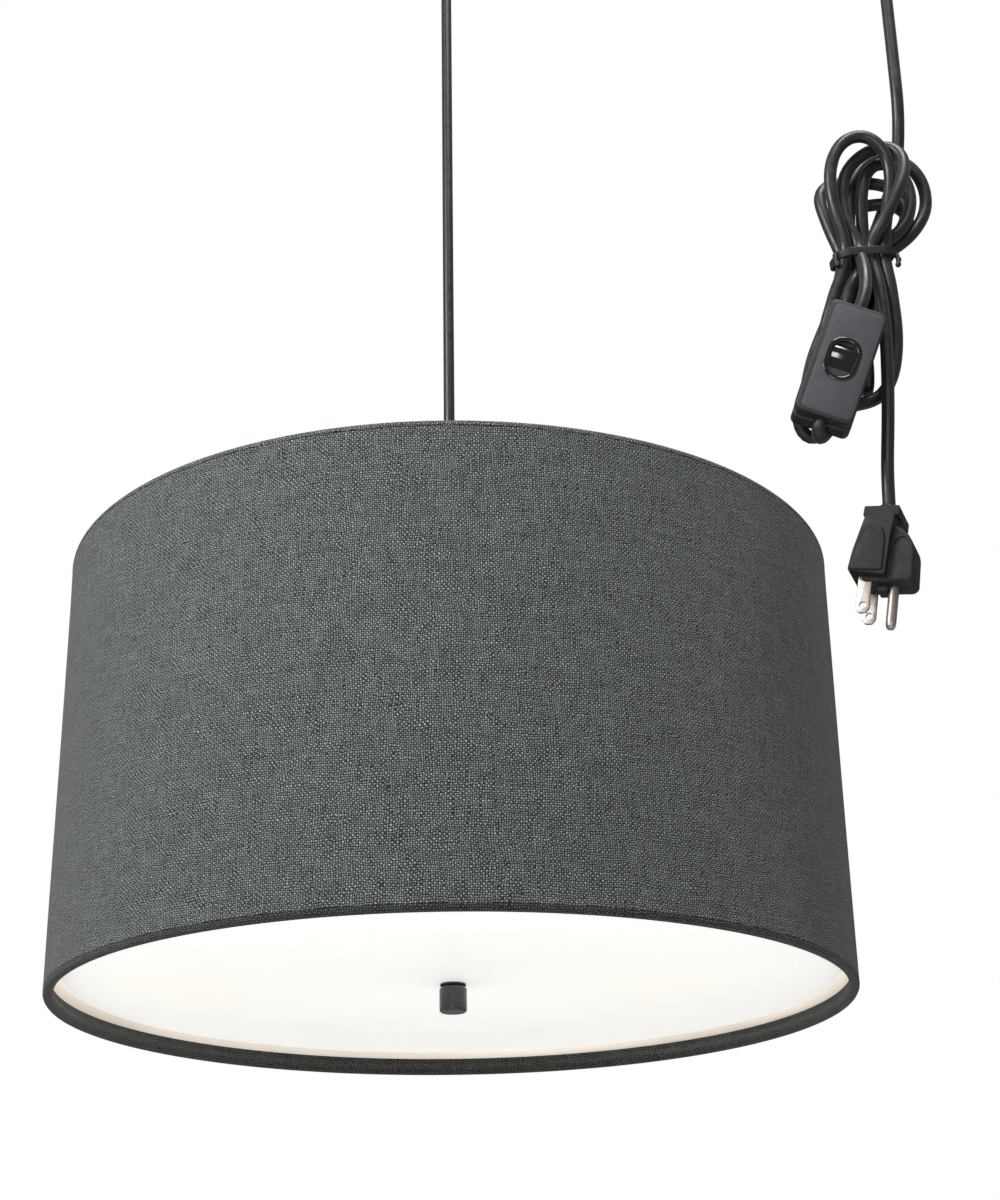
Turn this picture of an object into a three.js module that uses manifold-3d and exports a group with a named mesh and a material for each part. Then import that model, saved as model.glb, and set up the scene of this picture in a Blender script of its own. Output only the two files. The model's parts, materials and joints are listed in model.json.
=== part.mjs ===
// A plug-in drum pendant lamp, hung from two ceiling hooks by its own cord.
// Units are millimetres and +Z is up. The origin lies in the ceiling plane on the lamp's plumb line,
// and the shade hangs below it. Heights inside a lamp or hank group are counted from the bottom rim.
import * as THREE from "three";
import { mergeVertices } from "three/addons/utils/BufferGeometryUtils.js";
import Module from "manifold-3d";

const wasm = await Module();
wasm.setup();

// Driving dimensions
const SHADE_RADIUS = 203.2; // a 16 in drum
const SHADE_HEIGHT = 228.6; // 9 in high
const CEILING_TO_RIM = 790; // how far the bottom rim hangs below the ceiling
const GAP = 0.3; // between pieces that touch
const SKIN = 0.8; // thickness of the fabric, the liner and the turned hem
const SHADE_SEGMENTS = 48;
const ROUND_SEGMENTS = 24;
const CORD_RADIUS = 3.1;
const CORD_SIDES = 8;
const CORD_STEP = 15.5; // two and a half diameters

// Cord route
const DROP_X = 228; // the plumb line of the cord below the second hook
const DROP_Y = -180;
const SPAN = Math.hypot(DROP_X, DROP_Y);
const BEND_RADIUS = 26; // of the cord over a hook
const BEND_CENTRE_Z = -54.4;
const HOOK_INSET = 14.3; // from the plumb line to the hook's own line, along the span
const HANK_TOP = 395;
const HANK_BOTTOM = 250;
const TIE_HEIGHT = 328;

// Lamp stack, heights above the bottom rim
const WIRE_RADIUS = 1.4;
const WIRE_RING_RADIUS = 200.7;
const WIRE_HEIGHT = 2.6; // of the ring's wire above the rim
const HUB_HEIGHT = 197.6;
const HUB_THICKNESS = 2;
const GRIP_TOP = 250;
const NIPPLE_RADIUS = 4.8;
const NIPPLE_HOLE = 5.1; // hole radius that clears the nipple
const CUP_RADIUS = 33;
const CUP_TOP = 195.6;
const CUP_BOTTOM = 156.6;
const CUP_WALL = 1.5;
const COVER_THICKNESS = 1.8;
const STEM_RADIUS = 3.175; // 1/4-27 threaded stem
const STEM_HOLE = 3.5;
const SOCKET_HEIGHT = 176; // where the two socket axes cross the plumb line
const SOCKET_TILT = THREE.MathUtils.degToRad(20);
const DIFFUSER_RADIUS = 196;
const DIFFUSER_HEIGHT = 12.5;
const DIFFUSER_THICKNESS = 3;
const FINIAL_RADIUS = 7;
const FINIAL_BOTTOM = -2.2;
const FINIAL_TOP = 10.9;

// In-line switch
const SWITCH_LENGTH = 62;
const SWITCH_WIDTH = 28;
const SWITCH_BASE_DEPTH = 8.5;
const SWITCH_COVER_DEPTH = 8;
const SWITCH_WALL = 1.8;
const SWITCH_X = 181.3;
const SWITCH_HEIGHT = 255; // its middle above the bottom rim
const SWITCH_BACK_Y = -193.3; // the face that lies against the hank
const SWITCH_LEAN = THREE.MathUtils.degToRad(21);
const ROCKER_REST = THREE.MathUtils.degToRad(8);

// Plug with two flat blades and a round ground pin
const PLUG_X = 203.2;
const PLUG_TOP = 194; // above the bottom rim
const PLUG_LEAN = THREE.MathUtils.degToRad(10);
const PLUG_TURN = THREE.MathUtils.degToRad(-24); // about its own axis
const BLADE_SPACING = 12.7;
const BLADE_WIDTH = 6.35;
const BLADE_THICKNESS = 1.5;
const PIN_OFFSET = 11.9; // from the blades' plane to the ground pin
const PIN_RADIUS = 2.4;

const COLOURS = {
  fabric: [0x5c615d, 0.9, 0],
  liner: [0xe6dfd5, 0.6, 0],
  steel: [0xb9bcbe, 0.35, 0.9],
  black: [0x2b2b2c, 0.45, 0.1],
  brass: [0xc9a45c, 0.3, 0.9],
  bakelite: [0x1d1b1a, 0.4, 0],
  diffuser: [0xfbfaf4, 0.35, 0],
  glass: [0xf7f5ee, 0.25, 0],
  cord: [0x2c2c2d, 0.5, 0],
  switch: [0x565259, 0.55, 0],
  rocker: [0x0c0b0d, 0.12, 0],
  nickel: [0xdad0c9, 0.28, 0.9],
};

const root = new THREE.Group();
const lamp = new THREE.Group(); // its own zero height is the bottom rim
lamp.position.z = -CEILING_TO_RIM;
root.add(lamp);

function place(name, colour, geometry, parent = root) {
  const [color, roughness, metalness] = COLOURS[colour];
  const mesh = new THREE.Mesh(geometry, new THREE.MeshStandardMaterial({ color, roughness, metalness }));
  mesh.name = name;
  parent.add(mesh);
  return mesh;
}

// Booleans
function toSolid(geometry) {
  const bare = geometry.index ? geometry.toNonIndexed() : geometry.clone();
  bare.deleteAttribute("normal");
  bare.deleteAttribute("uv");
  const merged = mergeVertices(bare, 1e-4);
  return new wasm.Manifold(
    new wasm.Mesh({
      numProp: 3,
      vertProperties: new Float32Array(merged.attributes.position.array),
      triVerts: new Uint32Array(merged.index.array),
    }),
  );
}

function fromSolid(solid) {
  const mesh = solid.getMesh();
  const geometry = new THREE.BufferGeometry();
  geometry.setAttribute("position", new THREE.BufferAttribute(mesh.vertProperties, 3));
  geometry.setIndex(new THREE.BufferAttribute(mesh.triVerts, 1));
  geometry.computeVertexNormals();
  return geometry;
}

function cut(body, ...tools) {
  return fromSolid(tools.reduce((left, tool) => left.subtract(toSolid(tool)), toSolid(body)));
}

function common(first, second) {
  return fromSolid(toSolid(first).intersect(toSolid(second)));
}

function join(...bodies) {
  return fromSolid(bodies.map(toSolid).reduce((whole, body) => whole.add(body)));
}

// Geometry helpers
function lathe(profile, segments = ROUND_SEGMENTS) {
  const area = profile.reduce((sum, [r, z], i) => {
    const [nextR, nextZ] = profile[(i + 1) % profile.length];
    return sum + r * nextZ - nextR * z;
  }, 0);
  const ordered = area > 0 ? profile : [...profile].reverse();
  const onAxis = ordered[0][0] === 0 && ordered.at(-1)[0] === 0;
  const closed = onAxis ? ordered : rolledToClose(ordered);
  const points = closed.map(([r, z]) => new THREE.Vector2(r, z));
  return new THREE.LatheGeometry(points, segments).rotateX(Math.PI / 2);
}

// Starts a profile on the axis if it touches the axis, and otherwise repeats its first point.
function rolledToClose(profile) {
  const start = profile.findIndex(([r], i) => r === 0 && profile.at(i - 1)[0] === 0);
  return start < 0 ? [...profile, profile[0]] : [...profile.slice(start), ...profile.slice(0, start)];
}

function ring(inner, outer, bottom, top, segments) {
  return lathe([[inner, bottom], [outer, bottom], [outer, top], [inner, top]], segments);
}

function disc(radius, bottom, top, segments) {
  return lathe([[0, bottom], [radius, bottom], [radius, top], [0, top]], segments);
}

function block(width, depth, height, x = 0, y = 0, z = 0) {
  return new THREE.BoxGeometry(width, depth, height).translate(x, y, z);
}

function roundedRect(width, height, radius, Kind = THREE.Shape) {
  const shape = new Kind();
  const x = width / 2 - radius;
  const y = height / 2 - radius;
  shape.absarc(x, y, radius, 0, Math.PI / 2);
  shape.absarc(-x, y, radius, Math.PI / 2, Math.PI);
  shape.absarc(-x, -y, radius, Math.PI, 1.5 * Math.PI);
  shape.absarc(x, -y, radius, 1.5 * Math.PI, 2 * Math.PI);
  return shape;
}

function extrude(shape, depth, curveSegments = 6) {
  return new THREE.ExtrudeGeometry(shape, { depth, bevelEnabled: false, curveSegments });
}

// A shape drawn in X and Z, made solid between two values of Y.
function slab(shape, front, back, curveSegments) {
  return extrude(shape, back - front, curveSegments).rotateX(Math.PI / 2).translate(0, back, 0);
}

function polygon(points) {
  return new THREE.Shape(points.map(([x, y]) => new THREE.Vector2(x, y)));
}

function hexNut(acrossFlats, hole, bottom, height) {
  const corner = acrossFlats / Math.sqrt(3);
  const corners = Array.from({ length: 6 }, (_, i) => [
    corner * Math.cos((i * Math.PI) / 3),
    corner * Math.sin((i * Math.PI) / 3),
  ]);
  const shape = polygon(corners);
  shape.holes.push(new THREE.Path().absarc(0, 0, hole, 0, 2 * Math.PI, true));
  return extrude(shape, height, 8).translate(0, 0, bottom);
}

function circleSection(radius, sides) {
  return polygon(
    Array.from({ length: sides }, (_, i) => [
      radius * Math.cos((2 * Math.PI * i) / sides),
      radius * Math.sin((2 * Math.PI * i) / sides),
    ]),
  );
}

function tube(points, radius, sides, step) {
  const path = new THREE.CatmullRomCurve3(points.map((p) => new THREE.Vector3(...p)), false, "centripetal");
  const steps = Math.max(1, Math.round(path.getLength() / step));
  return new THREE.ExtrudeGeometry(circleSection(radius, sides), { extrudePath: path, steps });
}

// Gives a line of points in a lathe's plane an even thickness.
function band(line, thickness) {
  const side = (sign) =>
    line.map(([r, z], i) => {
      const [r0, z0] = line[Math.max(i - 1, 0)];
      const [r1, z1] = line[Math.min(i + 1, line.length - 1)];
      const along = new THREE.Vector2(r1 - r0, z1 - z0).normalize();
      return [r - (sign * along.y * thickness) / 2, z + (sign * along.x * thickness) / 2];
    });
  return [...side(1), ...side(-1).reverse()];
}

// Shade
const HEM_LINE = [
  [202.8, 3.1],
  [202.8, 1.8],
  [202.0, 0.45],
  [199.6, 0.45],
  [198.5, 1.8],
  [198.5, 3.6],
  [200.4, 5.8],
  [200.4, 9.5],
];

function mirrored(profile) {
  return profile.map(([r, z]) => [r, SHADE_HEIGHT - z]);
}

function wireProfile(height) {
  return Array.from({ length: 8 }, (_, i) => [
    WIRE_RING_RADIUS + WIRE_RADIUS * Math.cos((i * Math.PI) / 4),
    height + WIRE_RADIUS * Math.sin((i * Math.PI) / 4),
  ]);
}

function armAngle(i) {
  return Math.PI / 2 + (i * 2 * Math.PI) / 3;
}

function addShade() {
  const hemEnd = HEM_LINE[0][1] + GAP;
  const linerEnd = WIRE_HEIGHT + WIRE_RADIUS + GAP;
  const linerRadius = SHADE_RADIUS - SKIN - GAP;
  place("shade_fabric", "fabric",
    ring(SHADE_RADIUS - SKIN, SHADE_RADIUS, hemEnd, SHADE_HEIGHT - hemEnd, SHADE_SEGMENTS), lamp);
  place("shade_liner", "liner",
    ring(linerRadius - SKIN, linerRadius, linerEnd, SHADE_HEIGHT - linerEnd, SHADE_SEGMENTS), lamp);
  place("bottom_ring", "steel", lathe(wireProfile(WIRE_HEIGHT), SHADE_SEGMENTS), lamp);
  place("top_ring", "steel", lathe(wireProfile(SHADE_HEIGHT - WIRE_HEIGHT), SHADE_SEGMENTS), lamp);
  const hem = band(HEM_LINE, SKIN);
  place("bottom_hem", "fabric", lathe(hem, SHADE_SEGMENTS), lamp);
  const notches = [0, 1, 2].map((i) =>
    block(7, 6, 10, 0, 198, SHADE_HEIGHT - 6.1).rotateZ(armAngle(i) - Math.PI / 2));
  place("top_hem", "fabric", cut(lathe(mirrored(hem), SHADE_SEGMENTS), ...notches), lamp);
}

// Spider that hangs the shade on the stem
function addSpider() {
  const middle = HUB_HEIGHT + HUB_THICKNESS / 2;
  place("spider_hub", "steel", ring(NIPPLE_HOLE, 19, HUB_HEIGHT, HUB_HEIGHT + HUB_THICKNESS, 36), lamp);
  for (let i = 0; i < 3; i += 1) {
    const arm = tube([[19.5, 0, middle], [110, 0, middle + 9], [198.8, 0, SHADE_HEIGHT - 3.4]], 1.6, 8, 30);
    place(`spider_arm_${i + 1}`, "steel", arm.rotateZ(armAngle(i)), lamp);
  }
}

// Cord grip, nuts, cup and stem, one above the other on the plumb line
function addStack() {
  place("cord_grip", "black", lathe([
    [0, 216.3], [NIPPLE_HOLE, 216.3], [NIPPLE_HOLE, 206.6], [11, 206.6], [11, 212],
    [8, 215.5], [5.6, 232], [4.6, GRIP_TOP], [0, GRIP_TOP],
  ]), lamp);
  place("top_nut", "steel", hexNut(14, NIPPLE_HOLE, 200, 6.2), lamp);
  place("lock_washer", "steel", ring(NIPPLE_HOLE, 8.5, 196, 197.3), lamp);
  place("top_nipple", "steel", ring(3.3, NIPPLE_RADIUS, 183, 214), lamp);
  place("cup_nut", "steel", hexNut(14, NIPPLE_HOLE, 187.6, 6), lamp);
  place("cluster_cup", "black", cut(
    lathe([
      [NIPPLE_HOLE, CUP_TOP], [CUP_RADIUS, CUP_TOP], [CUP_RADIUS, CUP_BOTTOM],
      [CUP_RADIUS - CUP_WALL, CUP_BOTTOM], [CUP_RADIUS - CUP_WALL, CUP_TOP - CUP_WALL],
      [NIPPLE_HOLE, CUP_TOP - CUP_WALL],
    ], 36),
    ...[0, Math.PI].map((turn) => aimed(disc(5.2, 20, 50), turn).translate(0, 0, SOCKET_HEIGHT)),
  ), lamp);
  place("cluster_cover", "black",
    ring(STEM_HOLE, CUP_RADIUS - CUP_WALL - GAP, CUP_BOTTOM, CUP_BOTTOM + COVER_THICKNESS, 36), lamp);
  place("stem_nut_inner", "steel", hexNut(11, STEM_HOLE, CUP_BOTTOM + COVER_THICKNESS + GAP, 4), lamp);
  place("stem_nut_outer", "steel", hexNut(11, STEM_HOLE, CUP_BOTTOM - GAP - 4, 4), lamp);
  place("lower_stem", "steel", disc(STEM_RADIUS, 1.5, 172, 16), lamp);
  place("diffuser_nut", "steel", hexNut(11, STEM_HOLE, 15.8, 4), lamp);
}

// Turns a piece made along +Z so that it points outwards and down, then round the plumb line.
function aimed(geometry, turn) {
  return geometry.rotateY(Math.PI / 2 + SOCKET_TILT).rotateZ(turn);
}

// Distances in these profiles are counted out from the plumb line along the socket's axis.
function addSocket(number, turn) {
  const add = (name, colour, geometry) => {
    place(`${name}_${number}`, colour, aimed(geometry, turn).translate(0, 0, SOCKET_HEIGHT), lamp);
  };
  add("socket_cap", "black", lathe([
    [3, 27], [4.8, 27], [4.8, 40.4], [12, 40.4], [17, 46], [17, 54], [15.4, 54], [15.4, 47],
    [11.4, 42], [3, 42],
  ]));
  add("socket_base", "bakelite", disc(15.1, 54.6, 57.6));
  add("socket_contact", "brass", disc(3, 58, 60.4, 12));
  add("socket_shell", "bakelite", ring(15.4, 17, 54.3, 84));
  add("socket_thread", "brass", ring(13.7, 14.2, 60, 82));
  add("bulb_base", "steel", lathe([
    [0, 61], [4.5, 61], [4.5, 63], [12, 66.5], [13.1, 68], [13.1, 88], [0, 88],
  ]));
  add("bulb_glass", "glass", lathe([
    [13, 88.3], [14, 98], [19, 112], [26, 125], [30, 141], [28, 156], [20, 166.5], [10, 170.5], [0, 171.3],
    [0, 170], [9.6, 169.3], [19, 165.4], [26.8, 155.4], [28.7, 141], [24.9, 125.5], [17.9, 112.4],
    [12.8, 98], [11.8, 88.3],
  ], 20));
}

function addDiffuser() {
  place("diffuser", "diffuser",
    ring(3.6, DIFFUSER_RADIUS, DIFFUSER_HEIGHT, DIFFUSER_HEIGHT + DIFFUSER_THICKNESS, SHADE_SEGMENTS), lamp);
  place("diffuser_washer", "black", ring(3.6, 6.6, FINIAL_TOP + GAP, DIFFUSER_HEIGHT - GAP), lamp);
  place("finial", "black", lathe([
    [0, FINIAL_BOTTOM], [FINIAL_RADIUS - 0.8, FINIAL_BOTTOM], [FINIAL_RADIUS, FINIAL_BOTTOM + 0.8],
    [FINIAL_RADIUS, FINIAL_TOP - 0.4], [FINIAL_RADIUS - 0.4, FINIAL_TOP], [STEM_HOLE, FINIAL_TOP],
    [STEM_HOLE, 0.6], [0, 0.6],
  ]), lamp);
}

// Ceiling hooks. The cord runs in the upright plane of the span, and each hook lies square to it.
const SPAN_ANGLE = Math.atan2(DROP_Y, DROP_X);

function onSpan(along, height) {
  return [along * Math.cos(SPAN_ANGLE), along * Math.sin(SPAN_ANGLE), height];
}

function addHook(number, along) {
  const plate = new THREE.Shape().absarc(0, 0, 20, 0, 2 * Math.PI);
  for (const side of [-1, 1]) {
    plate.holes.push(new THREE.Path().absarc(0, 13 * side, 2.2, 0, 2 * Math.PI, true));
  }
  const [x, y] = onSpan(along, 0);
  place(`hook_plate_${number}`, "black",
    extrude(plate, 3, 8).rotateZ(SPAN_ANGLE).translate(x, y, -3));
  const hook = tube([
    [0, 0, -3.4], [0, 0, -7], [0, 5, -12.5], [0, 11.5, -18], [0, 12.8, -27], [0, 8.8, -35.5], [0, 0, -39.6],
    [0, -8.8, -35.5], [0, -12.4, -27], [0, -13.4, -21],
  ], 2.25, 10, 4.5);
  place(`ceiling_hook_${number}`, "black", hook.rotateZ(SPAN_ANGLE).translate(x, y, 0));
}

// Half of the span, from the plumb line over the hook to the lowest point: distance along it, height.
const HALF_SPAN = [
  [0, BEND_CENTRE_Z + GAP],
  [0.3, -50],
  [2, -44.5],
  [7.6, -36],
  [16.1, -30.4],
  [26, BEND_CENTRE_Z + BEND_RADIUS],
  [38.2, -31.4],
  [60, -41.8],
  [90, -52.5],
  [120, -58.2],
];

function addCord() {
  const grip = GRIP_TOP - CEILING_TO_RIM;
  const top = BEND_CENTRE_Z;
  place("cord_riser", "cord",
    tube([grip + GAP, (grip + top) / 2, top - GAP].map((z) => [0, 0, z]), CORD_RADIUS, CORD_SIDES, CORD_STEP));
  const farHalf = HALF_SPAN.map(([along, height]) => [SPAN - along, height]).reverse();
  const bottom = HANK_TOP + GAP - CEILING_TO_RIM;
  const drop = [0.25, 0.5, 0.75, 1].map((share) => [SPAN, top + share * (bottom - top)]);
  const route = [...HALF_SPAN, [SPAN / 2, -59.9], ...farHalf, ...drop];
  place("cord_swag", "cord",
    tube(route.map(([along, height]) => onSpan(along, height)), CORD_RADIUS, CORD_SIDES, CORD_STEP));
  const tail = [
    [207, -186, HANK_BOTTOM - GAP], [206.6, -183.5, 222], [PLUG_X + 0.1, DROP_Y, PLUG_TOP + 2 * GAP],
  ];
  place("cord_tail", "cord",
    tube(tail.map(([x, y, z]) => [x, y, z - CEILING_TO_RIM]), CORD_RADIUS, CORD_SIDES, CORD_STEP));
}

function splineTo(outline, points) {
  outline.splineThru(points.map((p) => new THREE.Vector2(...p)));
}

// The outer shape of the folded turns from the front: a wide bow above the tie, and below it loops that reach
// out to the left behind the switch.
function hankFront() {
  const outline = new THREE.Shape();
  outline.moveTo(215, 332);
  splineTo(outline, [[229, 345], [240, 362], [237, 382], [234, HANK_TOP]]);
  outline.lineTo(222, HANK_TOP);
  splineTo(outline, [[211, 402], [194, 394], [184, 374], [185, 355], [189, 332]]);
  outline.lineTo(189, 324);
  splineTo(outline, [[183, 296], [171, 266], [163.5, 241], [167, 230], [180, 233], [201, HANK_BOTTOM]]);
  outline.lineTo(211.5, HANK_BOTTOM);
  splineTo(outline, [[218, 276], [217.5, 300], [215, 324]]);
  return outline;
}

// From the side it is squeezed at the tie, and it lies behind the switch below that.
function hankSide() {
  const behindSwitch = SWITCH_BACK_Y + GAP;
  return polygon([
    [behindSwitch, 225], [behindSwitch, 297], [-199, 304], [-199, 316], [-193, 323], [-193, 333], [-199, 345],
    [-199, 403], [-160, 403], [-160, 345], [-167, 333], [-167, 323], [-160, 312], [-160, 225],
  ]);
}

function addHank() {
  const front = slab(hankFront(), -200, -150, 5);
  const side = slab(hankSide(), -250, -150).rotateZ(Math.PI / 2);
  place("cord_hank", "cord", common(front, side).translate(0, 0, -CEILING_TO_RIM));
  const strap = roundedRect(29.8, 29.8, 4);
  strap.holes.push(roundedRect(26.6, 26.6, 0.5, THREE.Path));
  place("cord_tie", "black",
    extrude(strap, 3.4, 4).translate(202, DROP_Y, TIE_HEIGHT - 1.7 - CEILING_TO_RIM));
}

// In the switch's own frame the cord runs along Z, and the cover faces -Y.
function addSwitch() {
  const housing = new THREE.Group();
  housing.position.set(SWITCH_X, SWITCH_BACK_Y, SWITCH_HEIGHT - CEILING_TO_RIM);
  housing.rotation.y = SWITCH_LEAN;
  root.add(housing);
  const rim = -SWITCH_BASE_DEPTH;
  const face = rim - GAP - SWITCH_COVER_DEPTH;
  const inner = (inset) => roundedRect(SWITCH_WIDTH - inset, SWITCH_LENGTH - inset, 2);
  const hole = new THREE.CylinderGeometry(CORD_RADIUS + GAP, CORD_RADIUS + GAP, SWITCH_LENGTH + 2, 16)
    .rotateX(Math.PI / 2).translate(0, rim - GAP / 2, 0);
  place("switch_base", "switch", cut(
    slab(roundedRect(SWITCH_WIDTH, SWITCH_LENGTH, 3), rim, 0),
    slab(inner(2 * SWITCH_WALL), rim - 1, -SWITCH_WALL), hole,
    ...[-1, 1].map((side) => screwHole(side)),
  ), housing);
  place("switch_cover", "switch", cut(
    slab(roundedRect(SWITCH_WIDTH - 1.6, SWITCH_LENGTH - 1.6, 3), face, rim - GAP),
    slab(inner(2 * SWITCH_WALL + 1.6), face + SWITCH_WALL, 1 + rim), hole,
    slab(roundedRect(13.5, 21, 6.7), face - 1, rim),
  ), housing);
  addRocker(housing, face);
  for (const side of [-1, 1]) {
    const screw = lathe([[0, -7.5], [1.2, -7.5], [1.2, -1.9], [2.6, -0.6], [2.6, -0.2], [0, -0.2]], 12);
    place(`switch_screw_${side < 0 ? 1 : 2}`, "steel",
      screw.rotateX(-Math.PI / 2).translate(side * 8.5, 0, side * 23), housing);
  }
  const strip = (z) => block(5, 0.6, 12, 0, rim + 3.4, z);
  place("switch_contact_fixed", "brass", strip(-12.5), housing);
  place("switch_contact_spring", "brass", join(strip(10), block(5, 3, 0.6, 0, rim + 1.7, 4.3)), housing);
}

function screwHole(side) {
  const shape = lathe([[0, -9], [1.5, -9], [1.5, -2], [3, -0.5], [3, 1], [0, 1]], 12);
  return shape.rotateX(-Math.PI / 2).translate(side * 8.5, 0, side * 23);
}

function addRocker(housing, face) {
  const pivotY = face + 5;
  const side = polygon([
    [-9.2, 1.2], [-9.2, -4.2], [-8, -5.4], [0, -4.1], [8, -5.4], [9.2, -4.2], [9.2, 1.2], [0, 3.6],
  ]);
  side.holes.push(new THREE.Path().absarc(0, 0, 1.3, 0, 2 * Math.PI, true));
  const seesaw = extrude(side, 12, 6).translate(0, 0, -6).rotateY(-Math.PI / 2);
  const rocker = common(seesaw, slab(roundedRect(11, 18.4, 5.4), -10, 10));
  place("switch_rocker", "rocker",
    rocker.rotateX(ROCKER_REST).translate(0, pivotY, 0), housing);
  place("switch_pivot", "steel",
    new THREE.CylinderGeometry(1, 1, 20, 12).rotateZ(Math.PI / 2).translate(0, pivotY, 0), housing);
}

// In the plug's own frame the cord enters at the top, and the blades point down along -Z.
function addPlug() {
  const plug = new THREE.Group();
  plug.position.set(PLUG_X, DROP_Y, PLUG_TOP - CEILING_TO_RIM);
  plug.rotation.set(0, PLUG_LEAN, PLUG_TURN);
  root.add(plug);
  const faceZ = -42;
  const bladeX = -PIN_OFFSET / 2;
  const sideBlock = polygon([[-7, -9], [5.5, -9], [4, -40], [-13.5, faceZ + 4], [-12, -28], [-8.5, -15]]);
  const lobe = polygon([[-8, -12], [6, -14], [11.5, -17], [15.5, -24], [16, -40], [14.5, faceZ], [-8, faceZ]]);
  const body = join(
    lathe([[0, 0], [3.9, 0], [6, -4], [8, -8], [8, -14], [0, -14]], 16),
    block(17, 20, 4, -0.5, 0, -7.2),
    slab(sideBlock, -13, 13),
    slab(lobe, -8, 8),
  );
  const pockets = [-1, 1].map((side) =>
    block(BLADE_WIDTH + 2 * GAP, BLADE_THICKNESS + 2 * GAP, 10, bladeX, (side * BLADE_SPACING) / 2, -37.5));
  const pinPocket = disc(PIN_RADIUS + GAP, -50, -33, 16).translate(PIN_OFFSET / 2, 0, 0);
  place("plug_body", "black", cut(body, ...pockets, pinPocket), plug);
  const blade = roundedRect(BLADE_WIDTH, 24, 1.2);
  blade.holes.push(new THREE.Path().absarc(0, -8.6, 1.6, 0, 2 * Math.PI, true));
  for (const [name, side] of [["plug_blade_line", -1], ["plug_blade_neutral", 1]]) {
    const y = (side * BLADE_SPACING) / 2;
    place(name, "nickel",
      slab(blade, y - BLADE_THICKNESS / 2, y + BLADE_THICKNESS / 2).translate(bladeX, 0, -45), plug);
  }
  place("plug_ground_pin", "nickel", lathe([
    [0, -62.5], [1.2, -62.2], [2.1, -61], [PIN_RADIUS, -59.5], [PIN_RADIUS, -33.3], [0, -33.3],
  ], 16).translate(PIN_OFFSET / 2, 0, 0), plug);
}

addShade();
addSpider();
addStack();
[0, Math.PI].forEach((turn, i) => addSocket(i + 1, turn));
addDiffuser();
addHook(1, HOOK_INSET);
addHook(2, SPAN - HOOK_INSET);
addCord();
addHank();
addSwitch();
addPlug();

export default root;
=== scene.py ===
"""Looks of a plug-in drum pendant lamp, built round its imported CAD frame.

Lengths inside the classes are millimetres, and heights are counted from the bottom rim of the shade.
Every mesh is turned into metres in the row frame as it is made.
"""

import json
import logging
import math
from dataclasses import dataclass, field
from enum import Enum
from typing import Callable, Sequence

import bmesh
import bpy
import numpy as np
from mathutils import Matrix, Vector


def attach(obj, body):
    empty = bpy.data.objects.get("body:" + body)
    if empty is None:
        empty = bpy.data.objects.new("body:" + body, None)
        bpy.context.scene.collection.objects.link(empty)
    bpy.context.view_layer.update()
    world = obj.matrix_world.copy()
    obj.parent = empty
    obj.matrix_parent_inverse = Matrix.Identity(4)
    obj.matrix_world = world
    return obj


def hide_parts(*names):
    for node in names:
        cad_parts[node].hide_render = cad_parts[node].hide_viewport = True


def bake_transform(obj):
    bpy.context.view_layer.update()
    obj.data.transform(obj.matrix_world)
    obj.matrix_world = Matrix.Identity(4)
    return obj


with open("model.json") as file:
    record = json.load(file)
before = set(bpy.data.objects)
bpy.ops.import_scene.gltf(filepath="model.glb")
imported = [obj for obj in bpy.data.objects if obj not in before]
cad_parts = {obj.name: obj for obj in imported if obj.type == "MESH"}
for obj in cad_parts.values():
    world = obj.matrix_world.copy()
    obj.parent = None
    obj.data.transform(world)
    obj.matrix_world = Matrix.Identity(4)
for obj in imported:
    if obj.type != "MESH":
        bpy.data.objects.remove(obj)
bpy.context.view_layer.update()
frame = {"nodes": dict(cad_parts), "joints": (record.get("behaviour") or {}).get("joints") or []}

LOG = logging.getLogger("pendant")
MM = 0.001
RIM_Z = next(j["pos_m"][2] for j in frame["joints"] if j["name"] == "finial_turn")
CORD_RADIUS = 3.1
DROP_X, DROP_Y = 228.0, -180.0  # where the cord comes down from the second hook
SPAN_ANGLE = math.atan2(DROP_Y, DROP_X)
SPAN = math.hypot(DROP_X, DROP_Y)
HOOK_SETBACK = 14.3  # from each upright run of the cord to its hook, along the span
SWITCH_X, SWITCH_BACK_Y, SWITCH_HEIGHT = 181.3, -193.3, 255.0
SWITCH_CORD_Y = -201.95  # the cord's middle, between the two shells of the switch
SWITCH_LEAN = 21.0
SWITCH_HALF_LENGTH = 31.0
SHARP_DEGREES = 38.0
FINE = 192  # columns round the wide turned pieces

Point = tuple[float, float, float]
Flat = tuple[float, float]
Piece = bpy.types.Object
Node = bpy.types.Node
Socket = bpy.types.NodeSocket
Tree = bpy.types.NodeTree
Material = bpy.types.Material
Value = float | Sequence[float] | Socket
Swell = Callable[[float, float, float], float]


class Body(Enum):
    """The CAD bodies that pieces ride on."""

    CEILING = "ceiling_hardware"
    LAMP = "lamp"
    DIFFUSER = "diffuser_plate"
    FINIAL = "finial_knob"
    BULB_1 = "bulb_1"
    BULB_2 = "bulb_2"
    ROCKER = "rocker"


class PaintedShade(Enum):
    """How much painted shade darkens the cloth: none where it lies flat on the drum, much where it is
    turned under a wire.
    """

    FLAT = 1.0
    TURNED = 0.42


# Places -------------------------------------------------------------------------------------------

WORLD_SPACE = Matrix.Scale(MM, 4)
LAMP_SPACE = Matrix.Translation((0.0, 0.0, RIM_Z)) @ WORLD_SPACE


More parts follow.
